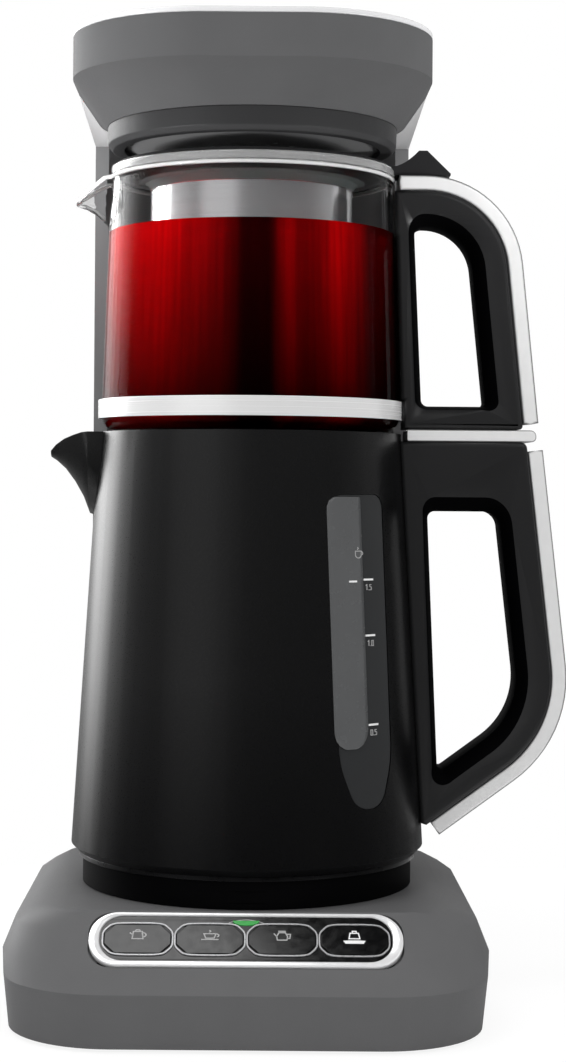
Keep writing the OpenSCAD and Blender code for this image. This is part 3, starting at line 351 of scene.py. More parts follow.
POLISHED_BLACK = {"rough": 0.14, "grain": 300, "depth": 0.02, "vary": 0.05, "specular": 0.45}
LOOKS = {
    "grey_plastic": moulded("grey_plastic_look", grey(99), 0.42, vary=0.03, specular=0.35),
    "pale_plastic": moulded("pale_plastic_look", grey(232, 0), 0.4, vary=0.02),
    "black_plastic": moulded("black_plastic_look", grey(15), 0.4, vary=0.08, specular=0.16),
    "black_coat": moulded("black_coat_look", grey(6), 0.3, 2200, 0.04, specular=0.42),
    "panel_black": moulded("panel_black_look", grey(6), **POLISHED_BLACK),
    "key_black": moulded("key_black_look", grey(6), **POLISHED_BLACK),
    "chrome": metal("chrome_look", grey(252), 0.14, POLISH, streak=0.03, metallic=0.3),
    "steel": metal("steel_look", grey(226, 2), 0.22, AROUND, metallic=0.75),
    "zinc_steel": metal("zinc_steel_look", srgb(176, 178, 182), 0.34, POLISH, 3.0, 0.14, 0.12),
    "brass": metal("brass_look", srgb(206, 168, 84), 0.28, POLISH, 2.0, 0.12),
    "rubber": moulded("rubber_look", grey(26), 0.72, 900, 0.4, 0.12, 0.3),
    "silicone": moulded("silicone_look", srgb(176, 60, 44), 0.55, 700, 0.2, 0.08),
    "clear_glass": clear("clear_glass_look", WHITE, 0.0, 1.07),
    "smoked_clear": clear("smoked_clear_look", srgb(52, 53, 54), 0.12, 1.4, 0.1, specular=0.3),
    "green_light": glowing("green_light_look", srgb(20, 150, 50), 0.25),
    "board_green": board("board_green_look"),
    "pipe_white": moulded("pipe_white_look", srgb(222, 220, 212), 0.45, 500, 0.15, 0.05),
    "dark_plastic": moulded("dark_plastic_look", grey(60), 0.38, specular=0.3),
}
HEAD_GREY = moulded("head_grey_look", grey(86), 0.6, vary=0.03, specular=0.06)
LID_DARK = moulded("lid_dark_look", grey(40), 0.55, vary=0.08, specular=0.08)
# Neck: its sides a darker grey, painted shade, and its downward faces a lighter grey, painted light
NECK_PAINTED_LIGHT_AND_SHADE = painted_by_facing("neck_painted_light_and_shade_look", grey(46), grey(58), 0.5, 0.2)
# Shower plate under the head: a light grey, painted light where little light reaches
SHOWER_PAINTED_LIGHT = moulded("shower_painted_light_look", grey(160), 0.4, vary=0.05, specular=0.3)
RIM_GLASS = clear("rim_glass_look", WHITE, 0.2, 1.45, 0.45)
COLLAR_GLASS = clear("collar_glass_look", grey(236, 0), 0.08, 1.4, 0.75)
INFUSER_STEEL = basket_steel("infuser_steel_look", 343.8, 347.2)
SKIRT_BLACK = moulded("skirt_black_look", grey(6), 0.6, vary=0.05, specular=0.02)
# Black skin over the handles' openings, painted shade
PAINTED_SHADE_SKIN = moulded("lining_black_look", grey(4), 0.7, vary=0.05, specular=0.02)
GRIP_BLACK = moulded("grip_black_look", grey(34), 0.36, specular=0.35)
# Tower front: lighter than the grey plastic, painted light where the kettle and head shade it
TOWER_PAINTED_LIGHT = moulded("tower_painted_light_look", grey(130), 0.45, vary=0.03, specular=0.3)
WING_SILVER = moulded("wing_silver_look", grey(208), 0.35, vary=0.02)
# Foot ring of the kettle: steel given a dark colour, painted shade in place of its bright reflection
RING_PAINTED_SHADE = metal("dark_ring_look", grey(30), 0.3, POLISH, streak=0.05)
KETTLE_COAT = fading_coat("kettle_coat_look", grey(6), 0.3, 40, 140)
TEA = painted_light_tea("tea_look")
SILVER = metal("silver_print_look", grey(176, 2), 0.3, POLISH, 3.0, 0.05, metallic=0.3)
PRINT_GREY = moulded("grey_print_look", grey(172, 0), 0.5, 900, 0.1, 0.08)
PRINT_WHITE = moulded("white_print_look", grey(240, 0), 0.5, 900, 0.1, 0.04)
STRIP = moulded("strip_look", srgb(90, 91, 92), 0.25, 260, 0.03, 0.04, 0.4)
TRIM_BRIGHT = metal("trim_bright_look", grey(244, 0), 0.2, POLISH, streak=0.02, metallic=0.16)
# Painted dark reflections along the rounded edges of the bright strips
painted_dark_edges(TRIM_BRIGHT, grey(112))
RIM_BRIGHT = moulded("rim_bright_look", grey(208), 0.25, vary=0.015, specular=0.4)
BASE_GREY = moulded("base_grey_look", grey(99), 0.55, vary=0.03, specular=0.12)
BAND_STEEL = metal("band_steel_look", grey(250, 0), 0.24, AROUND, streak=0.03, metallic=0.28)

OWN_LOOKS = {
    "teapot_lid": LID_DARK, "trim_ring": RING_PAINTED_SHADE, "head_neck": NECK_PAINTED_LIGHT_AND_SHADE, "shower_plate": SHOWER_PAINTED_LIGHT,
    "kettle_skirt": SKIRT_BLACK, "head_shell": HEAD_GREY, "tower_front": TOWER_PAINTED_LIGHT,
    "head_wings": WING_SILVER, "base_shell": BASE_GREY, "head_trim": RIM_BRIGHT, "head_cover": HEAD_GREY,
    "teapot_band": BAND_STEEL, "kettle_handle_cap": TRIM_BRIGHT, "infuser": INFUSER_STEEL,
    "kettle_body": KETTLE_COAT,
}


# Finish of the carried-over solids, with the width of each rounded edge

SOFT_EDGES = {
    "base_shell": 1.6, "base_plate": 0.6, "base_feet": 0.6, "panel_plate": 0.2, "key_boil": 0.25,
    "key_tea": 0.25, "key_coffee": 0.25, "key_warm": 0.25, "tower_front": 1.2, "tower_back": 0.5,
    "head_shell": 0.9, "head_wings": 0.5, "head_trim": 0.7, "head_cover": 0.5, "head_neck": 0.5,
    "kettle_skirt": 0.6, "kettle_handle_cap": 0.8, "teapot_lid": 0.6, "teapot_band": 0.2,
    "trim_ring": 0.3, "cord_gland": 0.5, "kettle_body": 0.5, "level_window": 0.15,
    "power_coupling": 0.4, "kettle_top_ring": 0.4,
}
WELD_GAP = 2e-6
FLAT_ANGLE = math.radians(0.6)
EDGE_ANGLE = math.radians(28)
BEVEL_STEPS = 3
FACE_WEIGHT = 60


def smooth_faces(obj):
    """Smooth shading that keeps large faces flat."""
    for polygon in obj.data.polygons:
        polygon.use_smooth = True
    even = obj.modifiers.new("even", "WEIGHTED_NORMAL")
    even.weight = FACE_WEIGHT
    even.keep_sharp = False


def soften(obj, width):
    """Rounds the edges of a solid without changing its mesh."""
    weld = obj.modifiers.new("weld", "WELD")
    weld.merge_threshold = WELD_GAP
    flat = obj.modifiers.new("flat", "DECIMATE")
    flat.decimate_type = "DISSOLVE"
    flat.angle_limit = FLAT_ANGLE
    bevel = obj.modifiers.new("edges", "BEVEL")
    bevel.width = width * MM
    bevel.segments = BEVEL_STEPS
    bevel.limit_method = "ANGLE"
    bevel.angle_limit = EDGE_ANGLE
    bevel.use_clamp_overlap = True
    bevel.miter_outer = "MITER_ARC"
    smooth_faces(obj)


def dress_solids():
    """Gives every solid of the frame its look, and some of them rounded edges."""
    for name, obj in nodes.items():
        looks = obj.data.materials
        slot = looks[0].name.split(".")[0] if looks else "dark_plastic"
        looks.clear()
        looks.append(OWN_LOOKS.get(name, LOOKS[slot]))
        if name in SOFT_EDGES:
            soften(obj, SOFT_EDGES[name])


dress_solids()


# Objects and meshes for the added pieces

def add_object(name, data):
    """A new object in the scene."""
    obj = bpy.data.objects.new(name, data)
    bpy.context.scene.collection.objects.link(obj)
    return obj


def piece(name, verts, faces, material, body, slot, smooth=False):
    """A new visible piece that rides on a body."""
    mesh = bpy.data.meshes.new(name)
    mesh.from_pydata([tuple(v) for v in verts], [], faces)
    mesh.validate()
    mesh.materials.append(material)
    for polygon in mesh.polygons:
        polygon.use_smooth = smooth
    obj = add_object(name, mesh)
    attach(obj, body)
    return obj


def even_shading(obj):
    """Outward faces and smooth edges beside flat sides."""
    work = bmesh.new()
    work.from_mesh(obj.data)
    bmesh.ops.recalc_face_normals(work, faces=work.faces)
    work.to_mesh(obj.data)
    work.free()
    smooth_faces(obj)
    return obj


def bridge(rows):
    """Faces between each closed row of points and the next."""
    faces = []
    for a, b in zip(rows, rows[1:]):
        for k in range(len(a)):
            n = (k + 1) % len(a)
            faces.append((a[k], a[n], b[n], b[k]))
    return faces


def lathe(profile, steps=128):
    """A closed turned solid from (radius, height) points, from the axis back to the axis."""
    verts, faces, rings = [], [], []
    for r, z in profile:
        if r == 0:
            rings.append([len(verts)])
            verts.append((0, 0, z * MM))
            continue
        rings.append(list(range(len(verts), len(verts) + steps)))
        for k in range(steps):
            a = 2 * math.pi * k / steps
            verts.append((r * math.cos(a) * MM, r * math.sin(a) * MM, z * MM))
    for low, high in zip(rings, rings[1:]):
        for k in range(steps):
            n = (k + 1) % steps
            if len(low) == 1:
                faces.append((low[0], high[n], high[k]))
            elif len(high) == 1:
                faces.append((low[k], low[n], high[0]))
            else:
                faces.append((low[k], low[n], high[n], high[k]))
    return verts, faces


# Outlines and lines in a plane

CORNER_STEP = math.radians(5)
# Least cosine at a corner, which limits how far its mitre reaches
LINE_MITRE = 0.4
OUTLINE_MITRE = 0.35


def mitre(line, k, closed, limit):
    """The way to the left of a path at its point k, longer at a corner."""
    p = line[k]
    before = line[k - 1] if k or closed else None
    after = line[(k + 1) % len(line)] if k < len(line) - 1 or closed else None
    d1 = ((after - p) if before is None else (p - before)).normalized()
    d2 = d1 if after is None else (after - p).normalized()
    n1 = Vector((-d1.y, d1.x))
    n2 = Vector((-d2.y, d2.x))
    side = (n1 + n2).normalized()
    return side / max(limit, side.dot(n1))


def ribbons(paths, width, low, high, place):
    """Raised lines of one width. A path is (points, closed), and place takes x, y and height to the frame."""
    verts, faces = [], []
    for points, closed in paths:
        line = [Vector(p) for p in points]
        count = len(line)
        base = len(verts)
        for k, p in enumerate(line):
            side = mitre(line, k, closed, LINE_MITRE) * (width / 2)
            for z in (low, high):
                verts.append(place(p.x + side.x, p.y + side.y, z))
                verts.append(place(p.x - side.x, p.y - side.y, z))
        for k in range(count if closed else count - 1):
            a, b = base + 4 * k, base + 4 * ((k + 1) % count)
            faces += [(a + 2, a + 3, b + 3, b + 2), (a + 1, a, b, b + 1)]
            faces += [(a, a + 2, b + 2, b), (a + 3, a + 1, b + 1, b + 3)]
        if not closed:
            a, b = base, base + 4 * (count - 1)
            faces += [(a, a + 1, a + 3, a + 2), (b + 1, b, b + 2, b + 3)]
    return verts, faces


def patch(outline, low, high, place):
    """A raised filled shape."""
    n = len(outline)
    verts = [place(x, y, z) for z in (low, high) for x, y in outline]
    faces = [tuple(range(n, 2 * n)), tuple(reversed(range(n)))]
    faces += [(k, (k + 1) % n, n + (k + 1) % n, n + k) for k in range(n)]
    return verts, faces


def arc(cx, cy, rx, ry, start, end, steps):
    """Points of an elliptical arc, angles in degrees."""
    angles = [math.radians(start + (end - start) * k / steps) for k in range(steps + 1)]
    return [(cx + rx * math.cos(a), cy + ry * math.sin(a)) for a in angles]


def rounded(points):
    """A closed outline from corners (x, y, radius), anticlockwise."""
    out = []
    count = len(points)
    for i, (x, y, r) in enumerate(points):
        p = Vector((x, y))
        if r <= 0:
            out.append(p)
            continue
        u = (Vector(points[i - 1][:2]) - p).normalized()
        v = (Vector(points[(i + 1) % count][:2]) - p).normalized()
        half = u.angle(v) / 2
        centre = p + (u + v).normalized() * (r / math.sin(half))
        first = p + u * (r / math.tan(half)) - centre
        last = p + v * (r / math.tan(half)) - centre
        a0 = math.atan2(first.y, first.x)
        sweep = (math.atan2(last.y, last.x) - a0 + math.pi) % (2 * math.pi) - math.pi
        steps = max(4, int(abs(sweep) / CORNER_STEP))
        for k in range(steps + 1):
            a = a0 + sweep * k / steps
            out.append(centre + Vector((math.cos(a), math.sin(a))) * r)
    return out


def rounded_box(left, low, right, high, r):
    return rounded([(left, low, r), (right, low, r), (right, high, r), (left, high, r)])


def softened(outline, share=0.3, steps=4):
    """A closed outline whose corners are rounded over a share of each side."""
    points = [Vector(p) for p in outline]
    out = []
    for i, p in enumerate(points):
        a = p.lerp(points[i - 1], share)
        b = p.lerp(points[(i + 1) % len(points)], share)
        for k in range(steps + 1):
            t = k / steps
            q = a.lerp(p, t).lerp(p.lerp(b, t), t)
            out.append((q.x, q.y))
    return out


def inset(outline, distance, by_side=None):
    """An anticlockwise outline moved inward, by a share that by_side gives for the way outward."""
    out = []
    for k, p in enumerate(outline):
        side = mitre(outline, k, True, OUTLINE_MITRE)
        share = by_side(-side.normalized()) if by_side else 1.0
        out.append(p + side * (distance * share))
    return out


def shifted(p, q, distance):
    """The line from p to q moved to its right."""
    u = (q - p).normalized()
    n = Vector((u.y, -u.x)) * distance
    return p + n, q + n


def meet(one, two):
    """The point where two lines cross."""
    p, r = one[0], one[1] - one[0]
    q, t = two[0], two[1] - two[0]
    k = ((q.x - p.x) * t.y - (q.y - p.y) * t.x) / (r.x * t.y - r.y * t.x)
    return p + r * k


def level_line(z):
    return Vector((0, z)), Vector((50, z))


def opening(sides, radii):
    """Outline between straight sides, given anticlockwise, with a radius for each corner."""
    points = [meet(side, sides[(k + 1) % len(sides)]) for k, side in enumerate(sides)]
    return rounded([(p.x, p.y, r) for p, r in zip(points, radii)])


def band_along(a, b, c, r, thick):
    """Outline of a strip outside the path a, b, c, which is rounded at b."""
    one, two = shifted(a, b, -thick), shifted(b, c, -thick)
    far = meet(one, two)
    return rounded([(a.x, a.y, 0), (one[0].x, one[0].y, 0), (far.x, far.y, r + thick),
                    (two[1].x, two[1].y, 0), (c.x, c.y, 0), (b.x, b.y, r)])[::-1]


# Slabs with rounded edges and chamfered openings

ROUND_STEPS = 5
SHADE_SKIN_GAP = 0.06
SHADE_SKIN_DEPTH = 0.4


def add_row(verts, outline, y):
    """Adds an outline in x and z at depth y, and returns the numbers of its points."""
    start = len(verts)
    verts.extend((p.x * MM, y * MM, p.y * MM) for p in outline)
    return list(range(start, len(verts)))


def rounded_edge(half, soft):
    """Profile of a rounded edge as (inset, depth), from the front face to the back face."""
    front = []
    for k in reversed(range(ROUND_STEPS + 1)):
        a = math.pi / 2 * k / ROUND_STEPS
        front.append((soft * (1 - math.cos(a)), soft - half - soft * math.sin(a)))
    return front + [(d, -y) for d, y in reversed(front)]


def chamfered_hole(half, soft):
    """Profile of an opening with a chamfer at each face."""
    return [(-soft, -half), (0, soft - half), (0, half - soft), (-soft, half)]


def chamfer_share(left, right, low, high):
    """Share of the full chamfer on each side of an opening, blended round its corners."""
    def share(way):
        x = (right if way.x > 0 else left) * way.x ** 2
        return x + (high if way.y > 0 else low) * way.y ** 2
    return share


def sleeve(hole, half, soft, by_side):
    """A thin black skin over an opening, painted shade: both chamfers and the wall between them."""
    edge, skin, depth = half - soft, SHADE_SKIN_GAP, SHADE_SKIN_DEPTH
    front = [(soft, -half - skin), (-skin, -edge), (-skin, edge), (soft, half + skin)]
    back = [(soft, half - depth), (depth, edge), (depth, -edge), (soft, depth - half)]
    verts = []
    rows = [add_row(verts, inset(hole, -d, by_side if d == soft else None), y) for d, y in front + back]
    return verts, bridge(rows + rows[:1])


def slab(outer, hole, half, edge, hole_edge=0, by_side=None):
    """An upright slab. Outlines are anticlockwise in x and z, and half is half its depth."""
    verts, faces, caps = [], [], []
    walls = [(outer, rounded_edge(half, edge), None)]
    if hole:
        walls.append((hole, chamfered_hole(half, hole_edge), by_side))
    for outline, profile, sides in walls:
        rows = [add_row(verts, inset(outline, d, sides), y) for d, y in profile]
        faces += bridge(rows)
        caps.append((rows[0], rows[-1]))
    for loops in zip(*caps):
        flat = [i for loop in loops for i in loop]
        lines = [[Vector((verts[i][0], verts[i][2], 0)) for i in loop] for loop in loops]
        faces += [tuple(flat[i] for i in tri) for tri in geometry.tessellate_polygon(lines)]
    return verts, faces


# Places on the part

PANEL = Vector((0, -81.475, 40.525))
PANEL_SLOPE = math.sqrt(0.5)
KETTLE_FOOT, KETTLE_TOP = (75, 66.5), (64.5, 240.5)
POT_FOOT, POT_TOP = (64, 241.4), (60.3, 349.4)


def tapered(foot, top, z):
    """Radius at height z of a wall between two (radius, height) points."""
    return foot[0] + (top[0] - foot[0]) * (z - foot[1]) / (top[1] - foot[1])


def kettle_radius(z):
    return tapered(KETTLE_FOOT, KETTLE_TOP, z)


def pot_radius(z):
    return tapered(POT_FOOT, POT_TOP, z)


def on_panel(x0, y0=0.0):
    """x runs along the sloped panel, y up the slope and z out of it."""
    def place(x, y, z):
        up, out = PANEL_SLOPE * (y + y0), PANEL_SLOPE * z
        return ((PANEL.x + x0 + x) * MM, (PANEL.y + up - out) * MM, (PANEL.z + up + out) * MM)
    return place


def on_window(angle0, z0):
    """x runs along the kettle's wall from a direction, y up from a height, z out of the wall."""
    def place(x, y, z):
        height = z0 + y
        r = kettle_radius(height)
        a = math.radians(angle0) + x / r
        r += z
        return (r * math.sin(a) * MM, -r * math.cos(a) * MM, height * MM)
    return place


# Handles with rounded grips, openings darkened by painted shade, and bright strips

GRIP = 14.6
GRIP_EDGE = 2.2
HOLE_EDGE = 4.6


def add_handle(body, outer, hole, half, sides, strip):
    """The three visible pieces of one handle."""
    # The black skin over the opening is painted shade
    shade_skin = sleeve(hole, half, HOLE_EDGE, sides)
    even_shading(piece(body + "_grip_lining", *shade_skin, PAINTED_SHADE_SKIN, body, "black_plastic"))
    grip = slab(outer, hole, half, GRIP_EDGE, HOLE_EDGE, sides)
    grip_piece = piece(body + "_grip", *grip, GRIP_BLACK, body, "black_plastic")
    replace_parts(even_shading(grip_piece), body + "_handle")
    strip_piece = piece(body + "_grip_strip", *strip, TRIM_BRIGHT, body, "chrome")
    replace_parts(even_shading(strip_piece), body + "_handle_trim")


def kettle_handle():
    """Handle of the kettle, from its top over the elbow to its foot."""
    top, elbow, foot = Vector((117.2, 237.5)), Vector((131.2, 115.5)), Vector((76, 75))
    bend, top_bend, sink = 47, 3, 1.3
    roof_z, sill_z, heel_z = 208, 73.5, 76
    web_low, web_high = 7, 9
    thick, half, strip_half, strip_edge = 6.6, 13.5, 12.0, 1.3
    column = (Vector((kettle_radius(sill_z) + web_low, sill_z)),
              Vector((kettle_radius(roof_z) + web_high, roof_z)))
    hole = opening(
        (level_line(roof_z), column, shifted(elbow, foot, GRIP), shifted(top, elbow, GRIP)),
        (3, 2, bend - GRIP, 7))
    outer = rounded([
        (kettle_radius(top.y) - sink, top.y, 0), (kettle_radius(heel_z) - sink, heel_z, 0),
        (foot.x, foot.y, 0), (elbow.x, elbow.y, bend), (top.x, top.y, top_bend)])
    start = top + (elbow - top).normalized() * 4
    end = foot + (elbow - foot).normalized() * 2
    strip = slab(band_along(start, elbow, end, bend, thick), None, strip_half, strip_edge)
    add_handle("kettle", outer, hole, half, chamfer_share(0.5, 1.0, 1.3, 1.3), strip)


def teapot_handle():
    """Handle of the teapot, from the mouth of the glass down to the bar above the kettle."""
    mouth, corner, foot = Vector((62.6, 343.8)), Vector((105.4, 343.8)), Vector((115.8, 244))
    bend, foot_bend, off = 35, 1.5, 0.2
    roof_z, bar_z, bar_low = corner.y - GRIP, 252.4, 242.8
    heel_x, heel_low, heel_high = 65.3, 254.6, 255
    web_low, web_high = 9, 8
    thick, half, strip_half, strip_edge = 6.7, 12.5, 11.5, 1.6
    column = (Vector((pot_radius(bar_z) + web_low, bar_z)),
              Vector((pot_radius(roof_z) + web_high, roof_z)))
    hole = opening(
        (level_line(roof_z), column, level_line(bar_z), shifted(corner, foot, GRIP)),
        (4, 3, 2, bend - GRIP))
    outer = rounded([
        (pot_radius(corner.y) + off, corner.y, 0), (pot_radius(heel_high) + off, heel_high, 0),
        (heel_x, heel_low, 0), (heel_x, bar_low, 0), (foot.x, bar_low, foot_bend),
        (corner.x, corner.y, bend)])
    end = foot + (corner - foot).normalized()
    strip = slab(band_along(mouth, corner, end, bend, thick), None, strip_half, strip_edge)
    add_handle("teapot", outer, hole, half, chamfer_share(0.6, 1.1, 0.3, 1.0), strip)


kettle_handle()
teapot_handle()


# Control panel: bright frame with wide ends, and the dark face under it

def laid_slab(outer, hole, low, high, edge, hole_edge):
    """A slab that lies on the sloped panel, from height low to height high."""
    verts, faces = slab(outer, hole, (high - low) / 2, edge, hole_edge)
    place = on_panel(0)
    middle = (high + low) / 2
    return [place(x / MM, z / MM, y / MM + middle) for x, y, z in verts], faces


def control_panel():
    """The bright frame and the dark border inside it."""
    frame_outer = rounded_box(-61.4, -12.15, 61.4, 12.15, 11.6)
    frame_hole = rounded_box(-57.2, -9.7, 57.2, 10.6, 9.2)
    face_hole = rounded_box(-58.2, -8.95, 58.2, 8.95, 5.7)
    bright = laid_slab(frame_outer, frame_hole, -2, 1.2, 0.6, 0.5)
    panel_frame = piece("panel_frame", *bright, LOOKS["chrome"], "machine", "chrome")
    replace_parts(even_shading(panel_frame), "panel_bezel")
    dark = laid_slab(inset(frame_hole, -0.8), face_hole, -2, 0.38, 0.05, 0.02)
    even_shading(piece("panel_border", *dark, LOOKS["panel_black"], "machine", "panel_black"))


control_panel()


# Keys: bright outline and a plain pictogram each, and the light above them

KEY_X = {"key_boil": -42.3, "key_tea": -14.1, "key_coffee": 14.1, "key_warm": 42.3}
RING_HALF_WIDE, RING_HALF_HIGH, RING_CORNER = 13.68, 7.18, 3.9
RING_LINE, RING_LOW, RING_TOP = 0.55, 0.3, 0.95
ICON_LINE, ICON_LOW, ICON_TOP = 0.48, 0.85, 1.0
ICON_SCALE = 1.25
ICONS = {
    # A kettle: body, lid knob, spout and handle
    "key_boil": [
        ([(-1.7, 0.4), (1.7, 0.4), (1.4, 3.0), (-1.4, 3.0)], True),
        ([(-1.0, 3.0), (-0.5, 3.6), (0.5, 3.6), (1.0, 3.0)], False),
        ([(-1.55, 1.8), (-2.5, 2.6)], False),
        (arc(1.5, 1.8, 1.1, 0.8, 80, -80, 8), False),
    ],
    # A cup on a saucer with a wisp of steam
    "key_tea": [
        ([(-1.9, 2.4), (1.9, 2.4), (1.3, 0.8), (-1.3, 0.8)], True),
        (arc(1.9, 1.8, 0.9, 0.55, 90, -70, 8), False),
        ([(-2.7, 0.3), (2.7, 0.3)], False),
        ([(-0.2, 2.9), (0.25, 3.3), (-0.2, 3.7)], False),
    ],
    # A teapot: body, spout, handle and lid
    "key_coffee": [
        ([(-1.5, 0.3), (1.5, 0.3), (1.7, 1.6), (1.0, 3.0), (-1.0, 3.0), (-1.7, 1.6)], True),
        ([(-1.6, 1.5), (-2.6, 2.7)], False),
        ([(1.5, 2.4), (2.6, 2.4), (2.4, 0.9), (1.6, 0.9)], False),
        ([(-1.2, 3.5), (1.2, 3.5)], False),
    ],
    # A small pot, which stands on the warming plate
    "key_warm": [
        ([(-1.7, 1.0), (1.7, 1.0), (1.3, 3.0), (-1.3, 3.0)], True),
        ([(-0.6, 3.0), (-0.6, 3.7), (0.6, 3.7), (0.6, 3.0)], False),
    ],
}
WARM_PLATE = [(-4.4, 0.9), (-3.6, -0.4), (3.6, -0.4), (4.4, 0.9), (2.2, 1.05), (-2.2, 1.05)]


def key_ring():
    """Outline round a key, with cut corners."""
    w, h, c = RING_HALF_WIDE, RING_HALF_HIGH, RING_CORNER
    low = [(-w + c, -h), (w - c, -h), (w, -h + c)]
    return low + [(w, h - c), (w - c, h), (-w + c, h), (-w, h - c), (-w, -h + c)]


def add_key(key, x0):
    """The ring round a key, which stays, and the icon, which moves with the key."""
    ring = ribbons([(softened(key_ring()), True)], RING_LINE, RING_LOW, RING_TOP, on_panel(x0))
    piece(key + "_ring", *ring, SILVER, "machine", "chrome")
    paths = [([(x * ICON_SCALE, y * ICON_SCALE) for x, y in points], closed) for points, closed in ICONS[key]]
    icon = ribbons(paths, ICON_LINE, ICON_LOW, ICON_TOP, on_panel(x0, -0.6))
    ink = PRINT_WHITE if key == "key_warm" else PRINT_GREY
    piece(key + "_icon", *icon, ink, key + "_cap", "pale_plastic")


def status_light():
    """The green lens at the panel's upper edge and the thin arc over it."""
    lens = patch(arc(0, 8.75, 5.2, 2.2, 180, 360, 20), -2.7, 0.62, on_panel(0))
    light = piece("status_lens", *lens, LOOKS["green_light"], "machine", "green_light")
    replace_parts(light, "status_light")
    line = ribbons([(arc(0, 2.2, 11, 7.0, 150, 30, 20), False)], 0.3, 0.35, 0.46, on_panel(0))
    piece("light_arc", *line, PRINT_GREY, "machine", "chrome")


for key, x0 in KEY_X.items():
    add_key(key, x0)
warm_plate = patch(WARM_PLATE, ICON_LOW, ICON_TOP, on_panel(KEY_X["key_warm"], -1.2))
piece("key_warm_plate_icon", *warm_plate, PRINT_WHITE, "key_warm_cap", "pale_plastic")
status_light()


# Level window: a lighter clear strip, ticks and generic figures

WINDOW_ANGLE = 42.5
STRIP_LOW, STRIP_HIGH = 112.5, 214.0
STRIP_ROWS, STRIP_COLUMNS = 24, 9
END_TRIM = 1e-3
TICKS = ((180.4, "1.5"), (157.8, "1.0"), (121.8, "0.5"))
TICK_LINE = [(0.6, 0), (2.5, 0), (4.4, 0), (6.3, 0)]
FULL_MARK = [(-7.4, -0.6), (-5.2, -0.6), (-3.2, -0.6)]
FIGURE_SIZE, FIGURE_LINE, FIGURE_DROP, FIGURE_ANGLE = 1.05, 0.28, 4.2, 44.0
DIGITS = {
    "0": ([(0, 0), (1, 0), (1, 2), (0, 2)], True),
    "1": ([(0.2, 1.6), (0.7, 2), (0.7, 0)], False),
    "5": ([(1, 2), (0.1, 2), (0.1, 1.15), (0.8, 1.15), (1, 0.85), (1, 0.25), (0.8, 0), (0, 0)], False),
    ".": ([(0, 0), (0.25, 0)], False),
}
CUP_ICON = [
    (arc(0, 1.4, 1.7, 1.6, 200, 340, 10) + [(1.6, 2.6), (-1.6, 2.6)], True),
    (arc(1.6, 1.7, 0.9, 0.7, 80, -60, 6), False),
    ([(-0.5, 3.2), (0.1, 3.7), (-0.3, 4.2)], False),
]


def strip_outline():
    """Outline of the strip, up from its lower end."""
    left, right, high = -17.0, 0.3, STRIP_HIGH - STRIP_LOW
    return rounded([(left, 0, 7.0), (right, 0, 8.0), (right, high, 1.2), (left, high, 5.0)])


def reach(outline, y):
    """The leftmost and rightmost x of an outline at height y."""
    hits = []
    for k, b in enumerate(outline):
        a = outline[k - 1]
        if a.y <= y < b.y or b.y <= y < a.y:
            hits.append(a.x + (b.x - a.x) * (y - a.y) / (b.y - a.y))
    return min(hits), max(hits)


def strip_levels(outline):
    """Heights of the strip's rows, closer together at its rounded ends."""
    low = min(p.y for p in outline)
    span = max(p.y for p in outline) - low
    levels = [low + span * (0.5 - 0.5 * math.cos(math.pi * k / STRIP_ROWS)) for k in range(STRIP_ROWS + 1)]
    levels[0] += span * END_TRIM
    levels[-1] -= span * END_TRIM
    return levels


def curved_patch(outline, low, high, place):
    """A filled shape on a round wall, cut in rows so that it bends with the wall."""
    verts, faces = [], []
    columns = STRIP_COLUMNS
    for z in (low, high):
        for y in strip_levels(outline):
            left, right = reach(outline, y)
            verts += [place(left + (right - left) * c / (columns - 1), y, z) for c in range(columns)]
    half = len(verts) // 2
    for r in range(STRIP_ROWS):
        for c in range(columns - 1):
            a = r * columns + c
            faces.append((half + a, half + a + 1, half + a + columns + 1, half + a + columns))
            faces.append((a + columns, a + columns + 1, a + 1, a))
        a, b = r * columns, (r + 1) * columns
        faces.append((a, half + a, half + b, b))
        a, b = a + columns - 1, b + columns - 1
        faces.append((b, half + b, half + a, a))
    last = STRIP_ROWS * columns
    for c in range(columns - 1):
        faces.append((c, c + 1, half + c + 1, half + c))
        faces.append((last + c + 1, last + c, half + last + c, half + last + c + 1))
    return verts, faces


def figures(text):
    """Paths of a row of figures."""
    paths, x = [], 0.0
    for c in text:
        points, closed = DIGITS[c]
        paths.append(([(x + px * FIGURE_SIZE, py * FIGURE_SIZE) for px, py in points], closed))
        x += FIGURE_SIZE * (0.7 if c == "." else 1.6)
    return paths


def level_window():
    """The strip, its three ticks with figures and the cup above them."""
    strip = curved_patch(strip_outline(), -0.38, 0.12, on_window(WINDOW_ANGLE, STRIP_LOW))
    piece("level_strip", *strip, STRIP, "kettle", "smoked_clear", smooth=True)
    for number, (height, text) in enumerate(TICKS, 1):
        marks = [(TICK_LINE, False)]
        if number == 1:
            marks.append((FULL_MARK, False))
        tick = ribbons(marks, 0.75, -0.35, 0.24, on_window(WINDOW_ANGLE, height))
        piece(f"level_tick_{number}", *tick, PRINT_WHITE, "kettle", "pale_plastic")
        place = on_window(FIGURE_ANGLE, height - FIGURE_DROP)
        label = ribbons(figures(text), FIGURE_LINE, -0.35, 0.1, place)
        piece(f"level_figure_{number}", *label, PRINT_GREY, "kettle", "pale_plastic")
    cup = ribbons(CUP_ICON, 0.34, -0.3, 0.24, on_window(40.8, 189.4))
    piece("level_cup_icon", *cup, PRINT_GREY, "kettle", "pale_plastic")


level_window()


# Rolled rim of the glass pot, round the mouth and along the pouring lip, and the collar above it

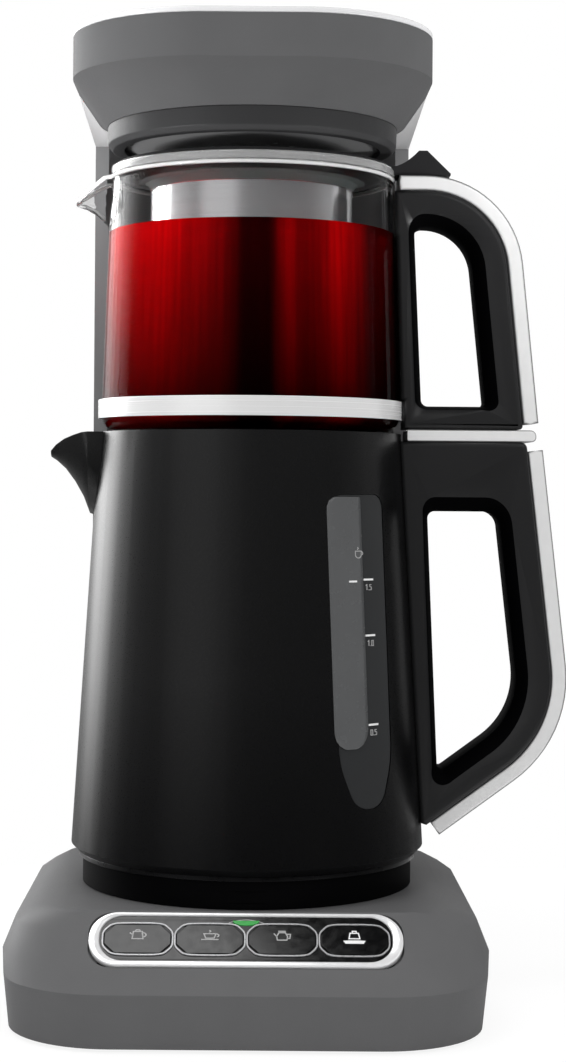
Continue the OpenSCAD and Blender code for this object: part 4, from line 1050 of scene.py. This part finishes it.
RIM_R, RIM_Z, RIM_THICK = 60.3, 348.4, 0.9
COLLAR_R, COLLAR_Z, COLLAR_THICK, COLLAR_HALF = 60.5, 350.6, 0.6, 2.3
LIP_EDGE = ((62.3, 13.2, 347.8), (66.2, 9.6, 345.3), (70.6, 5.9, 342.1), (74.6, 2.3, 339.0))
MOUTH_TURN, MOUTH_STEPS = 332, 116
TUBE_SIDES = 10


def mouth_arc(r, z):
    """Points round the mouth, open at the pouring lip."""
    turns = [MOUTH_TURN * (k / MOUTH_STEPS - 0.5) for k in range(MOUTH_STEPS + 1)]
    angles = [math.radians(turn) for turn in turns]
    return [Vector((r * math.cos(a), r * math.sin(a), z)) for a in angles]


def rim_path():
    """The rim from the tip of the lip round the mouth and back."""
    lip = [Vector((-x, -y, z)) for x, y, z in reversed(LIP_EDGE)]
    back = [Vector((-x, y, z)) for x, y, z in LIP_EDGE]
    return lip + mouth_arc(RIM_R, RIM_Z) + back


def round_tube(path, wide, tall, closed):
    """A tube of elliptical section along a path, joined to itself if closed."""
    verts, rows = [], []
    count = len(path)
    for i, p in enumerate(path):
        after = path[(i + 1) % count] if closed or i < count - 1 else p
        before = path[i - 1] if closed or i else p
        along = (after - before).normalized()
        side = along.cross(Vector((0, 0, 1))).normalized()
        top = side.cross(along)
        rows.append(list(range(len(verts), len(verts) + TUBE_SIDES)))
        for k in range(TUBE_SIDES):
            a = 2 * math.pi * k / TUBE_SIDES
            verts.append((p + side * wide * math.cos(a) + top * tall * math.sin(a)) * MM)
    if closed:
        return verts, bridge(rows + rows[:1])
    return verts, bridge(rows) + [tuple(rows[0]), tuple(rows[-1])]


rim = round_tube(rim_path(), RIM_THICK, RIM_THICK, True)
even_shading(piece("glass_rim", *rim, RIM_GLASS, "teapot", "clear_glass"))
collar = round_tube(mouth_arc(COLLAR_R, COLLAR_Z), COLLAR_THICK, COLLAR_HALF, False)
even_shading(piece("glass_collar", *collar, COLLAR_GLASS, "teapot", "clear_glass"))


# Tea in the glass pot

GLASS_WALL, GLASS_FLOOR = 2.4, 3.0
TEA_BITE = 0.2
TEA_CORNER, TEA_STEPS = 6.0, 8


def tea_profile():
    """Profile of the tea, which bites a little into the glass so that no gap shows."""
    gap = GLASS_WALL - TEA_BITE
    floor = POT_FOOT[1] + GLASS_FLOOR - TEA_BITE
    c = TEA_CORNER
    profile = [(0, floor)]
    for k in range(TEA_STEPS + 1):
        a = math.pi / 2 * k / TEA_STEPS
        profile.append((pot_radius(floor + c) - gap - c + c * math.sin(a), floor + c - c * math.cos(a)))
    for k in range(1, TEA_STEPS + 1):
        z = floor + c + (TEA_LEVEL - floor - c) * k / TEA_STEPS
        profile.append((pot_radius(z) - gap, z))
    return profile + [(pot_radius(TEA_LEVEL) - gap - 1.5, TEA_LEVEL - 0.5), (0, TEA_LEVEL - 0.6)]


piece("tea", *lathe(tea_profile()), TEA, "teapot", "clear_glass", smooth=True)


# Stage: floor, room, lamps and camera

FLOOR_HALF = 0.3
FLOOR_GREY = (0.86, 0.86, 0.86, 1)
FLOOR_GLOW, FLOOR_SHARE = 1.07, 0.82
ROOM_LEVEL = 0.75


def mixed_shader(tree, factor, first, second):
    """A shader between first and second."""
    node = tree.nodes.new("ShaderNodeMixShader")
    for socket, value in zip(node.inputs, (factor, first, second)):
        tree.links.new(value, socket)
    return node.outputs[0]


def floor_material():
    """White floor that keeps the shadow: part of it is plain white for the camera."""
    material = bpy.data.materials.new("floor_white")
    material.use_nodes = True
    tree = material.node_tree
    tree.nodes.clear()
    diffuse = tree.nodes.new("ShaderNodeBsdfDiffuse")
    diffuse.inputs["Color"].default_value = FLOOR_GREY
    white = tree.nodes.new("ShaderNodeEmission")
    white.inputs["Strength"].default_value = FLOOR_GLOW
    rays = tree.nodes.new("ShaderNodeLightPath").outputs
    seen = combined(tree, "MAXIMUM", rays["Is Camera Ray"], rays["Is Transmission Ray"])
    share = combined(tree, "MULTIPLY", seen, FLOOR_SHARE)
    surface = mixed_shader(tree, share, diffuse.outputs[0], white.outputs[0])
    out = tree.nodes.new("ShaderNodeOutputMaterial")
    tree.links.new(surface, out.inputs["Surface"])
    return material


def add_floor():
    """A plain square floor under the part."""
    h = FLOOR_HALF
    mesh = bpy.data.meshes.new("floor")
    mesh.from_pydata([(-h, -h, 0), (h, -h, 0), (h, h, 0), (-h, h, 0)], [], [(0, 1, 2, 3)])
    mesh.materials.append(floor_material())
    add_object("floor", mesh)


def background(tree, strength):
    """White light from all round, of a strength that is a number or an output."""
    node = tree.nodes.new("ShaderNodeBackground")
    node.inputs["Color"].default_value = WHITE
    feed(tree, node.inputs["Strength"], strength)
    return node.outputs[0]


def strip_light(tree, way, direction, strength, edge, core):
    """A soft bright area of the room around a direction, from cosine edge to cosine core."""
    toward = tree.nodes.new("ShaderNodeVectorMath")
    toward.operation = "DOT_PRODUCT"
    toward.inputs[1].default_value = Vector(direction).normalized()
    tree.links.new(way, toward.inputs[0])
    return spread(tree, toward.outputs["Value"], 0.0, strength, edge, core)


def room_seen(tree):
    """What gloss and glass show: a room brighter at the back and the left, with two soft lights."""
    way = tree.nodes.new("ShaderNodeTexCoord").outputs["Generated"]
    depth = spread(tree, axis_of(tree, way, "Y"), 0.28, 1.0, -0.4, 0.6)
    beside = spread(tree, axis_of(tree, way, "X"), 1.15, 0.6, -0.5, 0.5)
    above = spread(tree, axis_of(tree, way, "Z"), 1.0, 0.12, 0.5, 0.9)
    below = spread(tree, axis_of(tree, way, "Z"), 0.25, 1.0, -0.1, 0.22)
    flat = combined(tree, "MULTIPLY", depth, beside)
    dim = combined(tree, "MULTIPLY", flat, combined(tree, "MULTIPLY", above, below))
    rear = strip_light(tree, way, (-0.74, 0.64, 0.38), 8.0, 0.87, 0.985)
    front = strip_light(tree, way, (-0.6, -0.78, 0.2), 0.35, 0.88, 0.97)
    return combined(tree, "ADD", dim, combined(tree, "ADD", rear, front))


def add_room():
    """White for the camera, a shaded room for gloss and glass, and even light for the rest."""
    world = bpy.data.worlds.new("studio")
    bpy.context.scene.world = world
    world.use_nodes = True
    tree = world.node_tree
    tree.nodes.clear()
    rays = tree.nodes.new("ShaderNodeLightPath").outputs
    shiny = combined(tree, "MAXIMUM", rays["Is Glossy Ray"], rays["Is Transmission Ray"])
    lit = mixed_shader(tree, shiny, background(tree, ROOM_LEVEL), background(tree, room_seen(tree)))
    surface = mixed_shader(tree, rays["Is Camera Ray"], lit, background(tree, 1.0))
    out = tree.nodes.new("ShaderNodeOutputWorld")
    tree.links.new(surface, out.inputs["Surface"])


def softbox(name, place, target, size, power):
    """A square lamp that faces a target, in metres and watts."""
    lamp = bpy.data.lights.new(name, "AREA")
    lamp.shape = "RECTANGLE"
    lamp.size = size
    lamp.size_y = size
    lamp.energy = power
    obj = add_object(name, lamp)
    obj.location = place
    obj.rotation_euler = (Vector(target) - Vector(place)).to_track_quat("-Z", "Y").to_euler()
    return lamp


def add_lamps():
    """A key light, a fill light, and a weak narrow lamp up to the head from each side."""
    softbox("key_light", (-0.36, -0.34, 1.2), (-0.3, -0.3, 0.2), 0.62, 5.0)
    softbox("fill_light", (0.75, -0.9, 1.2), (0, 0, 0.2), 0.8, 3.0)
    for name, side, power in (("left_lift", -1, 0.1), ("right_lift", 1, 0.05)):
        lift = softbox(name, (side * 0.62, -0.42, 0.1), (side * 0.085, -0.02, 0.374), 0.12, power)
        lift.spread = math.radians(18)


def add_camera():
    """A level camera in front, with the photograph's framing."""
    data = bpy.data.cameras.new("camera")
    data.sensor_width = 36
    data.lens = 71.1
    data.shift_x = 0.0315
    data.shift_y = -0.0405
    camera = add_object("camera", data)
    camera.location = (0, -0.9, 0.2172)
    camera.rotation_euler = (math.radians(90), math.radians(-0.45), 0)
    bpy.context.scene.camera = camera


add_floor()
add_room()
add_lamps()
add_camera()
bpy.context.scene.view_settings.view_transform = "Standard"
